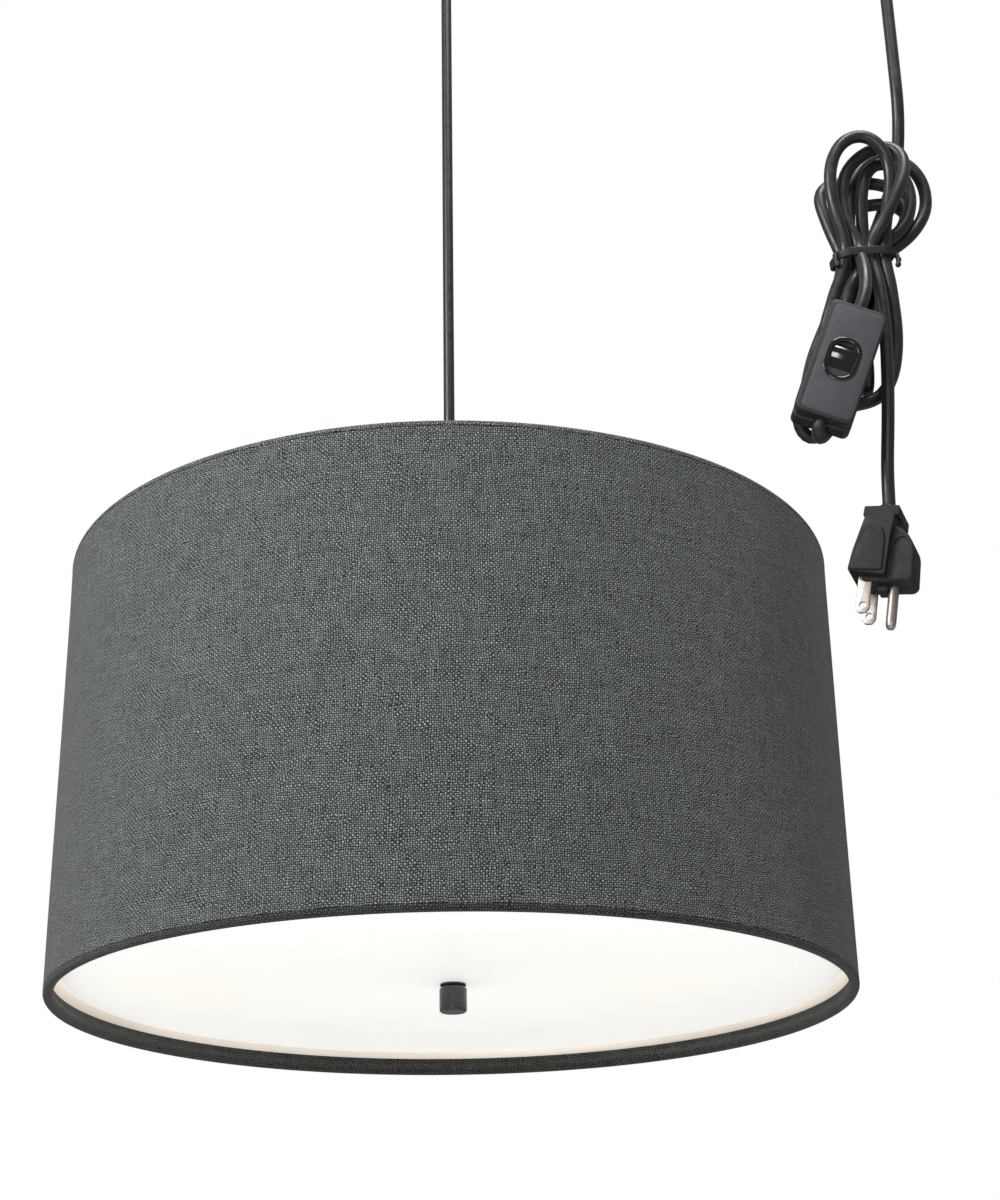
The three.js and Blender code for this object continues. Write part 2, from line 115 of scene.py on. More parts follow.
def leaning_space(x: float, y: float, height: float, lean: float, turn: float = 0.0) -> Matrix:
    """Gives the frame of a piece that hangs on the cord.

    Args:
        x: Distance from the lamp's plumb line along X.
        y: Distance along Y.
        height: Height above the bottom rim.
        lean: Turn about Y in degrees.
        turn: Turn about the piece's own Z in degrees.

    Returns:
        The matrix from the piece's own millimetres to metres in the row frame.
    """
    place = Matrix.Translation((x * MM, y * MM, RIM_Z + height * MM))
    leant = place @ Matrix.Rotation(math.radians(lean), 4, "Y")
    return leant @ Matrix.Rotation(math.radians(turn), 4, "Z") @ WORLD_SPACE


def socket_space(turn: float) -> Matrix:
    """Gives the frame whose Z runs out along a lamp socket.

    Args:
        turn: Turn of the socket about the plumb line in degrees.

    Returns:
        The matrix from millimetres along the socket to metres in the row frame.
    """
    tilt = Matrix.Rotation(math.radians(110.0), 4, "Y")
    around = Matrix.Rotation(math.radians(turn), 4, "Z")
    return Matrix.Translation((0.0, 0.0, RIM_Z + 176.0 * MM)) @ around @ tilt @ WORLD_SPACE


# Mesh making --------------------------------------------------------------------------------------


def make_piece(
    name: str,
    points: Sequence[Point],
    faces: Sequence[Sequence[int]],
    space: Matrix,
    charts: Sequence[Sequence[Flat]] | None = None,
    sharp_degrees: float = SHARP_DEGREES,
) -> Piece:
    """Makes one mesh object with outward faces.

    Args:
        name: Name of the piece.
        points: Vertices in the piece's own millimetres.
        faces: Vertex numbers of each face.
        space: Matrix to metres in the row frame.
        charts: One pair of surface coordinates in millimetres for each corner of each face.
        sharp_degrees: Edges turned further than this stay crisp.

    Returns:
        The object, linked to the scene.
    """
    mesh = bpy.data.meshes.new(name)
    mesh.from_pydata([space @ Vector(p) for p in points], [], faces)
    if charts is not None:
        layer = mesh.uv_layers.new(name="surface")
        flat = np.array([pair for face in charts for pair in face], np.float32)
        layer.data.foreach_set("uv", flat.ravel())
    work = bmesh.new()
    work.from_mesh(mesh)
    bmesh.ops.recalc_face_normals(work, faces=work.faces)
    work.to_mesh(mesh)
    work.free()
    mesh.shade_smooth()
    mesh.set_sharp_from_angle(angle=math.radians(sharp_degrees))
    piece = bpy.data.objects.new(name, mesh)
    bpy.context.scene.collection.objects.link(piece)
    return piece


def eased(outline: Sequence[Flat], radius: float, closed: bool = True, steps: int = 3) -> list[Flat]:
    """Rounds the corners of a flat outline.

    Args:
        outline: Corner points.
        radius: How far each corner is cut back along its edges.
        closed: Whether the last point joins the first.
        steps: Points put in place of each corner, less one.

    Returns:
        The outline with its corners rounded.
    """
    count = len(outline)
    result: list[Flat] = []
    for i, corner in enumerate(outline):
        if not closed and i in (0, count - 1):
            result.append(corner)
            continue
        here = Vector(corner)
        before = Vector(outline[i - 1]) - here
        after = Vector(outline[(i + 1) % count]) - here
        back = min(radius, 0.45 * before.length, 0.45 * after.length)
        start = here + before.normalized() * back
        end = here + after.normalized() * back
        for step in range(steps + 1):
            t = step / steps
            p = start * (1 - t) ** 2 + here * (2 * t * (1 - t)) + end * t**2
            result.append((p.x, p.y))
    return result


def revolve(
    name: str,
    profile: Sequence[Flat],
    space: Matrix,
    segments: int = 64,
    swell: Swell | None = None,
) -> Piece:
    """Turns a profile about the Z axis of a space.

    Args:
        name: Name of the piece.
        profile: Radius and height of each point. A profile that starts or ends off the axis is closed.
        space: Matrix to metres in the row frame.
        segments: Columns round the axis.
        swell: Gives the radius at an angle, radius and height, for threads and hexagons.

    Returns:
        The piece.
    """
    on_axis = profile[0][0] == 0 and profile[-1][0] == 0
    points: list[Point] = []
    rows: list[list[int]] = []
    for radius, height in profile:
        if radius == 0:
            points.append((0.0, 0.0, height))
            rows.append([len(points) - 1] * segments)
            continue
        row = []
        for k in range(segments):
            angle = 2 * math.pi * k / segments
            reach = swell(angle, radius, height) if swell else radius
            points.append((reach * math.cos(angle), reach * math.sin(angle), height))
            row.append(len(points) - 1)
        rows.append(row)
    lengths = np.cumsum([0.0] + [math.dist(profile[i - 1], profile[i]) for i in range(1, len(profile))])
    around = 2 * math.pi * max(p[0] for p in profile) / segments
    faces: list[list[int]] = []
    charts: list[list[Flat]] = []
    for i in range(len(profile) - (1 if on_axis else 0)):
        j = (i + 1) % len(profile)
        low = lengths[i]
        high = lengths[j] if j else lengths[i] + math.dist(profile[i], profile[0])
        for k in range(segments):
            n = (k + 1) % segments
            corners = [
                (rows[i][k], (around * k, low)),
                (rows[i][n], (around * (k + 1), low)),
                (rows[j][n], (around * (k + 1), high)),
                (rows[j][k], (around * k, high)),
            ]
            seen: list[int] = []
            kept = [c for c in corners if not (c[0] in seen or seen.append(c[0]))]
            if len(kept) > 2:
                faces.append([c[0] for c in kept])
                charts.append([c[1] for c in kept])
    return make_piece(name, points, faces, space, charts)


def smooth_path(points: Sequence[Point], step: float) -> np.ndarray:
    """Runs one smooth curve through points and spaces it evenly.

    Args:
        points: Points that the curve passes.
        step: Distance between the points of the result.

    Returns:
        The spaced points, one row each.
    """
    known = np.array(points, float)
    ends = np.vstack([2 * known[0] - known[1], known, 2 * known[-1] - known[-2]])
    fine: list[np.ndarray] = []
    for a, b, c, d in zip(ends, ends[1:], ends[2:], ends[3:]):
        t0, t1 = 0.0, math.sqrt(np.linalg.norm(b - a))
        t2 = t1 + math.sqrt(np.linalg.norm(c - b))
        t3 = t2 + math.sqrt(np.linalg.norm(d - c))
        for t in np.linspace(t1, t2, max(3, int(np.linalg.norm(c - b) / 0.5)), endpoint=False):
            ab = ((t1 - t) * a + (t - t0) * b) / (t1 - t0)
            bc = ((t2 - t) * b + (t - t1) * c) / (t2 - t1)
            cd = ((t3 - t) * c + (t - t2) * d) / (t3 - t2)
            abc = ((t2 - t) * ab + (t - t0) * bc) / (t2 - t0)
            bcd = ((t3 - t) * bc + (t - t1) * cd) / (t3 - t1)
            fine.append(((t2 - t) * abc + (t - t1) * bcd) / (t2 - t1))
    fine.append(known[-1])
    return respaced(np.array(fine), step)


def respaced(line: np.ndarray, step: float) -> np.ndarray:
    """Spaces the points of a line evenly, about a step apart."""
    length = np.r_[0.0, np.cumsum(np.linalg.norm(np.diff(line, axis=0), axis=1))]
    places = np.linspace(0.0, length[-1], max(2, round(length[-1] / step) + 1))
    return np.stack([np.interp(places, length, line[:, k]) for k in range(3)], 1)


def sweep(
    name: str,
    path: np.ndarray,
    section: Sequence[Flat],
    space: Matrix,
    ring: bool = False,
    swell: Sequence[float] | None = None,
) -> Piece:
    """Carries a section along a path without twisting it.

    Args:
        name: Name of the piece.
        path: Points of the path, one row each.
        section: Outline of the section, across the path.
        space: Matrix to metres in the row frame.
        ring: Whether the path closes on itself.
        swell: Scale of the section at each point of the path.

    Returns:
        The piece, with round caps where the path is open.
    """
    count, sides = len(path), len(section)
    if ring:
        along = np.roll(path, -1, 0) - np.roll(path, 1, 0)
    else:
        along = np.gradient(path, axis=0)
    along /= np.linalg.norm(along, axis=1)[:, None]
    start = np.array((0.0, 0.0, 1.0)) if abs(along[0][2]) < 0.8 else np.array((0.0, 1.0, 0.0))
    side = np.cross(along[0], start)
    points: list[Point] = []
    for i in range(count):
        side = side - along[i] * np.dot(side, along[i])
        side /= np.linalg.norm(side)
        other = np.cross(side, along[i])
        scale = 1.0 if swell is None else swell[i]
        points += [tuple(path[i] + scale * (u * side + v * other)) for u, v in section]
    edges = [math.dist(section[k], section[(k + 1) % sides]) for k in range(sides)]
    width = [0.0] + list(np.cumsum(edges))
    reach = np.r_[0.0, np.cumsum(np.linalg.norm(np.diff(path, axis=0), axis=1))]
    faces: list[list[int]] = []
    charts: list[list[Flat]] = []
    for i in range(count if ring else count - 1):
        j = (i + 1) % count
        far = reach[j] if j else reach[i] + math.dist(path[i], path[0])
        for k in range(sides):
            n = (k + 1) % sides
            near, low, high = reach[i], width[k], width[k + 1]
            faces.append([i * sides + k, i * sides + n, j * sides + n, j * sides + k])
            charts.append([(near, low), (near, high), (far, high), (far, low)])
    if not ring:
        for first in (0, (count - 1) * sides):
            faces.append(list(range(first, first + sides)))
            charts.append([(u, v) for u, v in section])
    return make_piece(name, points, faces, space, charts)


def circle(radius: float, sides: int) -> list[Flat]:
    """Gives a round section."""
    turn = 2 * math.pi / sides
    return [(radius * math.cos(turn * k), radius * math.sin(turn * k)) for k in range(sides)]


def rounded_box(width: float, height: float, radius: float, steps: int = 6) -> list[Flat]:
    """Gives a rectangle about the origin with circular corners."""
    outline: list[Flat] = []
    for quarter, (sx, sy) in enumerate([(1, 1), (-1, 1), (-1, -1), (1, -1)]):
        for step in range(steps + 1):
            angle = math.pi / 2 * (quarter + step / steps)
            x = sx * (width / 2 - radius) + radius * math.cos(angle)
            outline.append((x, sy * (height / 2 - radius) + radius * math.sin(angle)))
    return outline


def ring_line(inner: float, outer: float, low: float, high: float) -> list[Flat]:
    """Gives the rectangle that turns into a flat ring."""
    return [(inner, low), (outer, low), (outer, high), (inner, high)]


def plug_line(radius: float, low: float, high: float) -> list[Flat]:
    """Gives the line that turns into a solid round plug, as for a drill."""
    return [(0.0, low), (radius, low), (radius, high), (0.0, high)]


def slab(
    name: str, outline: Sequence[Flat], front: float, back: float, space: Matrix, bevel: float = 0.0
) -> Piece:
    """Makes a plate from an outline in X and Z, solid between two values of Y.

    Args:
        name: Name of the piece.
        outline: Points in X and Z.
        front: Lower value of Y.
        back: Upper value of Y.
        space: Matrix to metres in the row frame.
        bevel: Width of the rounding along its rims.

    Returns:
        The piece.
    """
    count = len(outline)
    points = [(x, front, z) for x, z in outline] + [(x, back, z) for x, z in outline]
    faces = [list(range(count)), list(range(count, 2 * count))]
    faces += [[k, (k + 1) % count, count + (k + 1) % count, count + k] for k in range(count)]
    piece = make_piece(name, points, faces, space)
    if bevel:
        rounded_edges(piece, bevel)
    return piece


def rounded_edges(piece: Piece, width: float, segments: int = 3, degrees: float = 35.0) -> None:
    """Rounds a piece's sharp edges for good."""
    rounding = piece.modifiers.new("rounding", "BEVEL")
    rounding.width = width * MM
    rounding.segments = segments
    rounding.limit_method = "ANGLE"
    rounding.angle_limit = math.radians(degrees)
    rounding.harden_normals = False
    fix_modifiers(piece)


def fix_modifiers(piece: Piece) -> None:
    """Makes what a piece's modifiers show its real mesh."""
    bpy.context.view_layer.update()
    shown = piece.evaluated_get(bpy.context.evaluated_depsgraph_get())
    mesh = bpy.data.meshes.new_from_object(shown)
    piece.modifiers.clear()
    piece.data = mesh
    mesh.shade_smooth()
    mesh.set_sharp_from_angle(angle=math.radians(SHARP_DEGREES))


def combine(piece: Piece, others: Sequence[Piece], operation: str) -> Piece:
    """Joins, cuts or crosses a piece with others, which are used up.

    Args:
        piece: The piece that stays.
        others: The tools.
        operation: UNION, DIFFERENCE or INTERSECT.

    Returns:
        The piece.
    """
    for other in others:
        step = piece.modifiers.new("step", "BOOLEAN")
        step.operation = operation
        step.solver = "EXACT"
        step.object = other
        fix_modifiers(piece)
        bpy.data.objects.remove(other)
    return piece


def hex_swell(angle: float, radius: float, height: float) -> float:
    """Gives the reach of a hexagon whose flats lie at a radius."""
    turn = (angle + math.pi / 6) % (math.pi / 3) - math.pi / 6
    return radius / math.cos(turn)


def thread_swell(pitch: float, depth: float, inner: float = 0.0) -> Swell:
    """Gives the reach of a screw thread.

    Args:
        pitch: Rise of one turn.
        depth: How far the crests stand out.
        inner: Points nearer to the axis than this stay plain.

    Returns:
        A function for revolve.
    """

    def reach(angle: float, radius: float, height: float) -> float:
        """Gives the reach at one point of the thread."""
        if radius <= inner:
            return radius
        phase = (height / pitch - angle / (2 * math.pi)) % 1.0
        return radius - depth * (0.5 + 0.5 * math.cos(2 * math.pi * phase))

    return reach


# Shader making ------------------------------------------------------------------------------------


class Wiring:
    """Adds nodes to one tree and joins them."""

    def __init__(self, tree: Tree) -> None:
        """Takes the tree to work on."""
        self.tree = tree

    def node(self, kind: str, **settings: object) -> Node:
        """Adds a node with its settings."""
        made = self.tree.nodes.new(kind)
        for key, value in settings.items():
            setattr(made, key, value)
        return made

    def put(self, target: Socket, value: Value) -> None:
        """Joins a socket to another, or sets its number or colour."""
        if isinstance(value, Socket):
            self.tree.links.new(value, target)
        else:
            target.default_value = value

    def math(self, operation: str, first: Value, second: Value = 0.0, third: Value = 0.0) -> Socket:
        """Adds a sum and gives its result."""
        made = self.node("ShaderNodeMath", operation=operation)
        for socket, value in zip(made.inputs, (first, second, third)):
            self.put(socket, value)
        return made.outputs[0]

    def mix(self, factor: Value, first: Value, second: Value, colour: bool = True) -> Socket:
        """Mixes two colours or two numbers and gives the result."""
        kind = "RGBA" if colour else "FLOAT"
        made = self.node("ShaderNodeMix", data_type=kind)
        wanted = {"A": first, "B": second}
        for socket in made.inputs:
            if socket.enabled and socket.name == "Factor":
                self.put(socket, factor)
            elif socket.enabled and socket.name in wanted:
                self.put(socket, wanted[socket.name])
        return next(s for s in made.outputs if s.enabled)

    def spread(
        self, value: Value, low: float, high: float, start: float = 0.0, end: float = 1.0
    ) -> Socket:
        """Maps a number from one range to another and holds it there."""
        made = self.node("ShaderNodeMapRange")
        for socket, number in zip(made.inputs, (value, low, high, start, end)):
            self.put(socket, number)
        return made.outputs[0]

    def noise(self, place: Value, scale: Value, detail: float = 3.0, rough: float = 0.55) -> Socket:
        """Adds noise and gives its value."""
        made = self.node("ShaderNodeTexNoise")
        if isinstance(place, Socket):
            self.put(made.inputs["Vector"], place)
        self.put(made.inputs["Scale"], scale)
        self.put(made.inputs["Detail"], detail)
        self.put(made.inputs["Roughness"], rough)
        return made.outputs[0]


def new_group(name: str, inputs: dict[str, float], outputs: Sequence[str]) -> tuple[Wiring, Node, Node]:
    """Starts a shader node group with named sockets.

    Args:
        name: Name of the group.
        inputs: Name and usual value of each input. Place is a vector.
        outputs: Names of the outputs.

    Returns:
        The wiring of the group, its input node and its output node.
    """
    group = bpy.data.node_groups.new(name, "ShaderNodeTree")
    for label, usual in inputs.items():
        kind = "NodeSocketVector" if label == "Place" else "NodeSocketFloat"
        socket = group.interface.new_socket(name=label, in_out="INPUT", socket_type=kind)
        if label != "Place":
            socket.default_value = usual
    for label in outputs:
        group.interface.new_socket(name=label, in_out="OUTPUT", socket_type="NodeSocketFloat")
    wiring = Wiring(group)
    return wiring, wiring.node("NodeGroupInput"), wiring.node("NodeGroupOutput")


def surface_grain_group() -> Tree:
    """Makes the group for moulded, plated and painted surfaces.

    Returns:
        A group with Blotch (broad colour change), Smudge (handling marks) and Height (fine grain).
    """
    w, given, result = new_group(
        "Surface_grain", {"Place": 0.0, "Blotch size": 60.0, "Grain size": 900.0, "Streak": 1.0},
        ("Blotch", "Smudge", "Height"))
    place = given.outputs["Place"]
    stretch = w.node("ShaderNodeCombineXYZ")
    w.put(stretch.inputs[0], 1.0)
    w.put(stretch.inputs[1], 1.0)
    w.put(stretch.inputs[2], given.outputs["Streak"])
    drawn = w.node("ShaderNodeVectorMath", operation="MULTIPLY")
    w.put(drawn.inputs[0], place)
    w.put(drawn.inputs[1], stretch.outputs[0])
    blotch = w.noise(place, given.outputs["Blotch size"], 4.0)
    smudge = w.noise(place, w.math("MULTIPLY", given.outputs["Blotch size"], 2.7), 2.0, 0.4)
    grain = w.noise(drawn.outputs[0], given.outputs["Grain size"], 3.0, 0.6)
    pits = w.node("ShaderNodeTexVoronoi", feature="SMOOTH_F1")
    w.put(pits.inputs["Vector"], drawn.outputs[0])
    w.put(pits.inputs["Scale"], w.math("MULTIPLY", given.outputs["Grain size"], 0.6))
    w.put(result.inputs["Blotch"], w.spread(blotch, 0.3, 0.7))
    w.put(result.inputs["Smudge"], w.spread(smudge, 0.35, 0.65))
    w.put(result.inputs["Height"], w.mix(0.4, grain, pits.outputs[0], colour=False))
    return w.tree


def edge_wear_group() -> Tree:
    """Makes the group that finds rubbed edges.

    Returns:
        A group whose Worn is 1 where an edge is rubbed.
    """
    w, given, result = new_group("Edge_wear", {"Place": 0.0, "Amount": 0.5}, ("Worn",))
    shape = w.node("ShaderNodeNewGeometry")
    edge = w.spread(shape.outputs["Pointiness"], 0.52, 0.62)
    patchy = w.spread(w.noise(given.outputs["Place"], 220.0, 4.0), 0.4, 0.7)
    rubbed = w.math("MULTIPLY", edge, patchy)
    w.put(result.inputs["Worn"], w.math("MULTIPLY", rubbed, given.outputs["Amount"]))
    return w.tree


CROWN_SHARE = 0.62  # how much of a yarn's height it gains where it passes over


def plain_weave_group() -> Tree:
    """Makes the group for plain woven cloth.

    Returns:
        A group with Height, Tone (lightness of the yarn on top) and Weft (1 where the weft is on top).
        Place is in millimetres over the cloth.
    """
    w, given, result = new_group("Plain_weave", {"Place": 0.0, "Pitch": 1.0}, ("Height", "Tone", "Weft"))
    drift_scale, drift_reach = 0.045, 0.9
    jitter_scale, jitter_reach = 0.35, 0.32
    place = given.outputs["Place"]
    apart = w.node("ShaderNodeSeparateXYZ")
    w.put(apart.inputs[0], place)
    drift = w.spread(w.noise(place, drift_scale, 2.0), 0.3, 0.7, -drift_reach, drift_reach)
    jitter = w.spread(w.noise(place, jitter_scale, 2.0), 0.3, 0.7, -jitter_reach, jitter_reach)
    pitch = given.outputs["Pitch"]
    across = w.math("DIVIDE", w.math("ADD", apart.outputs[0], w.math("ADD", drift, jitter)), pitch)
    up = w.math("DIVIDE", w.math("ADD", apart.outputs[1], w.math("SUBTRACT", drift, jitter)), pitch)
    column, row = w.math("FLOOR", across), w.math("FLOOR", up)
    hump_across = w.math("SINE", w.math("MULTIPLY", w.math("FRACT", across), math.pi))
    hump_up = w.math("SINE", w.math("MULTIPLY", w.math("FRACT", up), math.pi))
    weft = w.math("FLOORED_MODULO", w.math("ADD", column, row), 2.0)

    def yarn(width_hump: Socket, length_hump: Socket) -> Socket:
        """Gives the height of a yarn from its two humps."""
        crown = w.math("MULTIPLY_ADD", length_hump, CROWN_SHARE, 1 - CROWN_SHARE)
        return w.math("MULTIPLY", w.math("POWER", width_hump, 0.5), crown)

    def lightness(index: Socket, along: Socket, vertical: bool) -> Socket:
        """Gives the uneven lightness of one yarn, with thick and thin places along it."""
        spot = w.node("ShaderNodeCombineXYZ")
        w.put(spot.inputs[0], w.math("MULTIPLY", index, 3.37))
        w.put(spot.inputs[1], w.math("MULTIPLY", along, 0.09 if vertical else 0.06))
        w.put(spot.inputs[2], 4.0 if vertical else 11.0)
        return w.spread(w.noise(spot.outputs[0], 1.0, 3.0, 0.7), 0.35, 0.66)

    height = w.mix(weft, yarn(hump_across, hump_up), yarn(hump_up, hump_across), colour=False)
    tone = w.mix(weft, lightness(column, up, True), lightness(row, across, False), colour=False)
    w.put(result.inputs["Height"], height)
    w.put(result.inputs["Tone"], tone)
    w.put(result.inputs["Weft"], weft)
    return w.tree


class Groups:
    """Holds the node groups, each built once."""

    _made: dict[str, Tree] = {}

    @classmethod
    def get(cls, maker: Callable[[], Tree]) -> Tree:
        """Gives the group of a maker, built the first time."""
        if maker.__name__ not in cls._made:
            cls._made[maker.__name__] = maker()
        return cls._made[maker.__name__]


@dataclass(frozen=True)
class Finish:
    """A moulded, plated or painted surface.

    The colour is linear. Spread is how much it wanders, and the two roughness values are where it
    has been handled least and most.
    """

    name: str
    colour: Point
    rough_low: float = 0.35
    rough_high: float = 0.5
    metallic: float = 0.0
    spread: float = 0.12
    blotch: float = 60.0
    grain: float = 900.0
    streak: float = 1.0
    relief: float = 0.06
    worn: Point | None = None
    coat: float = 0.0
    sheen: float = 0.0
    specular: float = 0.5
    # Emission: the bulb's own light, and painted light on the liner and the diffuser.
    glow: float = 0.0

    def material(self) -> Material:
        """Gives the material, built the first time."""
        known = bpy.data.materials.get(self.name)
        return known if known else self.build()

    def start(self) -> tuple[Material, Wiring, Node]:
        """Starts an empty node material.

        Returns:
            The material, its wiring and its Principled BSDF.
        """
        made = bpy.data.materials.new(self.name)
        made.use_nodes = True
        made.node_tree.nodes.clear()
        w = Wiring(made.node_tree)
        shader = w.node("ShaderNodeBsdfPrincipled")
        out = w.node("ShaderNodeOutputMaterial")
        w.put(out.inputs["Surface"], shader.outputs[0])
        shader.inputs["Metallic"].default_value = self.metallic
        shader.inputs["Coat Weight"].default_value = self.coat
        shader.inputs["Coat Roughness"].default_value = 0.12
        shader.inputs["Sheen Weight"].default_value = self.sheen
        shader.inputs["Specular IOR Level"].default_value = self.specular
        return made, w, shader

    def bump(self, w: Wiring, shader: Node, height: Socket, depth: float) -> None:
        """Lets a height shape the surface's normal."""
        relief = w.node("ShaderNodeBump")
        relief.inputs["Strength"].default_value = 1.0
        relief.inputs["Distance"].default_value = depth * MM
        w.put(relief.inputs["Height"], height)
        w.put(shader.inputs["Normal"], relief.outputs[0])

    def shade(self, factor: float) -> tuple[float, float, float, float]:
        """Gives the colour made lighter or darker."""
        return tuple(min(1.0, c * factor) for c in self.colour) + (1.0,)

    def build(self) -> Material:
        """Builds the material.

        Returns:
            The material.
        """
        made, w, shader = self.start()
        place = w.node("ShaderNodeTexCoord").outputs["Object"]
        grain = w.node("ShaderNodeGroup", node_tree=Groups.get(surface_grain_group))
        w.put(grain.inputs["Place"], place)
        grain.inputs["Blotch size"].default_value = self.blotch
        grain.inputs["Grain size"].default_value = self.grain
        grain.inputs["Streak"].default_value = self.streak
        colour = w.mix(grain.outputs["Blotch"], self.shade(1 - self.spread), self.shade(1 + self.spread))
        if self.worn is not None:
            wear = w.node("ShaderNodeGroup", node_tree=Groups.get(edge_wear_group))
            w.put(wear.inputs["Place"], place)
            wear.inputs["Amount"].default_value = 0.7
            colour = w.mix(wear.outputs["Worn"], colour, (*self.worn, 1.0))
        w.put(shader.inputs["Base Color"], colour)
        rough = w.spread(grain.outputs["Smudge"], 0.0, 1.0, self.rough_low, self.rough_high)
        w.put(shader.inputs["Roughness"], rough)
        if self.glow:
            w.put(shader.inputs["Emission Color"], colour)
            shader.inputs["Emission Strength"].default_value = self.glow
        self.bump(w, shader, grain.outputs["Height"], self.relief)
        return made


@dataclass(frozen=True)
class Cloth(Finish):
    """Coarse slubby plain-woven cloth laminated to the drum."""

    pitch: float = 1.05
    pale: Point = (0.34, 0.385, 0.362)
    # Near-black colour for the hollows between the yarns: painted shade.
    gap: Point = (0.003, 0.0034, 0.0032)
    dark_share: float = 0.32
    weft_share: float = 0.42
    showing_from: float = 0.47
    showing_to: float = 0.84
    gap_roughness: float = 0.95
    yarn_relief: float = 0.32
    painted_shade: PaintedShade = PaintedShade.FLAT

    def build(self) -> Material:
        """Builds the material.

        Returns:
            The material.
        """
        made, w, shader = self.start()
        surface = w.node("ShaderNodeUVMap", uv_map="surface")
        weave = w.node("ShaderNodeGroup", node_tree=Groups.get(plain_weave_group))
        w.put(weave.inputs["Place"], surface.outputs[0])
        weave.inputs["Pitch"].default_value = self.pitch
        # Painted shade: both yarn colours are scaled down where the cloth is turned under a wire.
        dark_yarn = self.shade(self.painted_shade.value * self.dark_share)
        pale_yarn = tuple(c * self.painted_shade.value for c in self.pale) + (1.0,)
        tone = w.math("MULTIPLY", weave.outputs["Tone"], 1 - self.weft_share)
        lift = w.math("MULTIPLY_ADD", weave.outputs["Weft"], self.weft_share, tone)
        yarn = w.mix(lift, dark_yarn, pale_yarn)
        # Painted shade: where the weave is low, between the yarns, the colour goes to the near-black gap
        # colour.
        showing = w.spread(weave.outputs["Height"], self.showing_from, self.showing_to)
        colour = w.mix(showing, (*self.gap, 1.0), yarn)
        w.put(shader.inputs["Base Color"], colour)
        rough = w.spread(weave.outputs["Height"], 0.0, 1.0, self.gap_roughness, self.rough_low)
        w.put(shader.inputs["Roughness"], rough)
        self.bump(w, shader, weave.outputs["Height"], self.yarn_relief)
        return made


@dataclass(frozen=True)
class OpalSheet(Finish):
    """Opal acrylic that glows with painted light, warmer in painted halos where the two bulbs stand
    behind it.
    """

    halo_tint: Point = (1.0, 0.965, 0.86)
    bulb_reach: float = 0.118
    upper_face: float = 0.014
    halo_near: float = 0.02
    halo_far: float = 0.085

    def build(self) -> Material:
        """Builds the material.

        Returns:
            The material.
        """
        made, w, shader = self.start()
        place = w.node("ShaderNodeTexCoord").outputs["Object"]
        # Painted light: warm halos round the places of the two bulbs.
        painted_halo: Value = 0.0
        for side in (-1.0, 1.0):
            away = w.node("ShaderNodeVectorMath", operation="DISTANCE")
            w.put(away.inputs[0], place)
            away.inputs[1].default_value = (side * self.bulb_reach, 0.0, RIM_Z + self.upper_face)
            halo = w.spread(away.outputs["Value"], self.halo_near, self.halo_far, 1.0, 0.0)
            painted_halo = w.math("MAXIMUM", painted_halo, halo)
        cloud = w.spread(w.noise(place, 9.0, 2.0), 0.35, 0.65, 0.15, 0.75)
        uneven = w.math("MULTIPLY", painted_halo, cloud)
        colour = w.mix(uneven, self.shade(1.0), (*self.halo_tint, 1.0))
        w.put(shader.inputs["Base Color"], colour)
        # The glow is painted light, in the colour with its painted halos.
        w.put(shader.inputs["Emission Color"], colour)
        shader.inputs["Emission Strength"].default_value = self.glow
        rough = w.spread(w.noise(place, 30.0), 0.3, 0.7, self.rough_low, self.rough_high)
        w.put(shader.inputs["Roughness"], rough)
        self.bump(w, shader, w.noise(place, 320.0, 2.0), self.relief)
        return made


CLOTH = Cloth("Shade_cloth", (0.058, 0.068, 0.063), rough_low=0.72, sheen=0.15, specular=0.25)
# The cloth turned under the bottom wire, darkened with painted shade.
HEM_CLOTH = Cloth(
    "Hem_cloth", (0.06, 0.064, 0.055), rough_low=0.75, sheen=0.15, specular=0.2,
    painted_shade=PaintedShade.TURNED,
)
# The liner's glow is painted light, as if lit from inside the shade.
LINER = Finish(
    "Styrene_liner", (0.80, 0.74, 0.665), rough_low=0.45, rough_high=0.6, spread=0.05,
    blotch=14.0, relief=0.03, glow=0.14,
)
WIRE = Finish(
    "Zinc_wire", (0.52, 0.53, 0.54), rough_low=0.28, rough_high=0.45, metallic=1.0, spread=0.1,
    blotch=90.0, grain=1500.0, streak=3.0, relief=0.02, worn=(0.75, 0.75, 0.74),
)
STEEL = Finish(
    "Plated_steel", (0.56, 0.57, 0.58), rough_low=0.22, rough_high=0.4, metallic=1.0, spread=0.1,
    blotch=120.0, grain=1800.0, streak=4.0, relief=0.02, worn=(0.8, 0.8, 0.8),
)
ENAMEL = Finish(
    "Black_enamel", (0.018, 0.018, 0.0185), rough_low=0.28, rough_high=0.42, spread=0.25,
    blotch=80.0, grain=1300.0, relief=0.03, worn=(0.09, 0.09, 0.09), coat=0.35,
)
BAKELITE = Finish(
    "Bakelite", (0.022, 0.017, 0.014), rough_low=0.3, rough_high=0.45, spread=0.3, blotch=100.0,
    grain=1500.0, relief=0.02, worn=(0.06, 0.05, 0.04),
)
BRASS = Finish(
    "Lamp_brass", (0.72, 0.5, 0.2), rough_low=0.2, rough_high=0.38, metallic=1.0, spread=0.12,
    blotch=140.0, grain=1800.0, streak=2.0, relief=0.015, worn=(0.9, 0.75, 0.45),
)
CAP = Finish(
    "Bulb_cap", (0.66, 0.66, 0.64), rough_low=0.2, rough_high=0.36, metallic=1.0, spread=0.1,
    blotch=150.0, grain=1500.0, relief=0.02, worn=(0.85, 0.85, 0.82),
)
BULB = Finish(
    "Frosted_bulb", (0.93, 0.9, 0.84), rough_low=0.3, rough_high=0.42, spread=0.03, blotch=40.0,
    relief=0.01, glow=1.2,
)
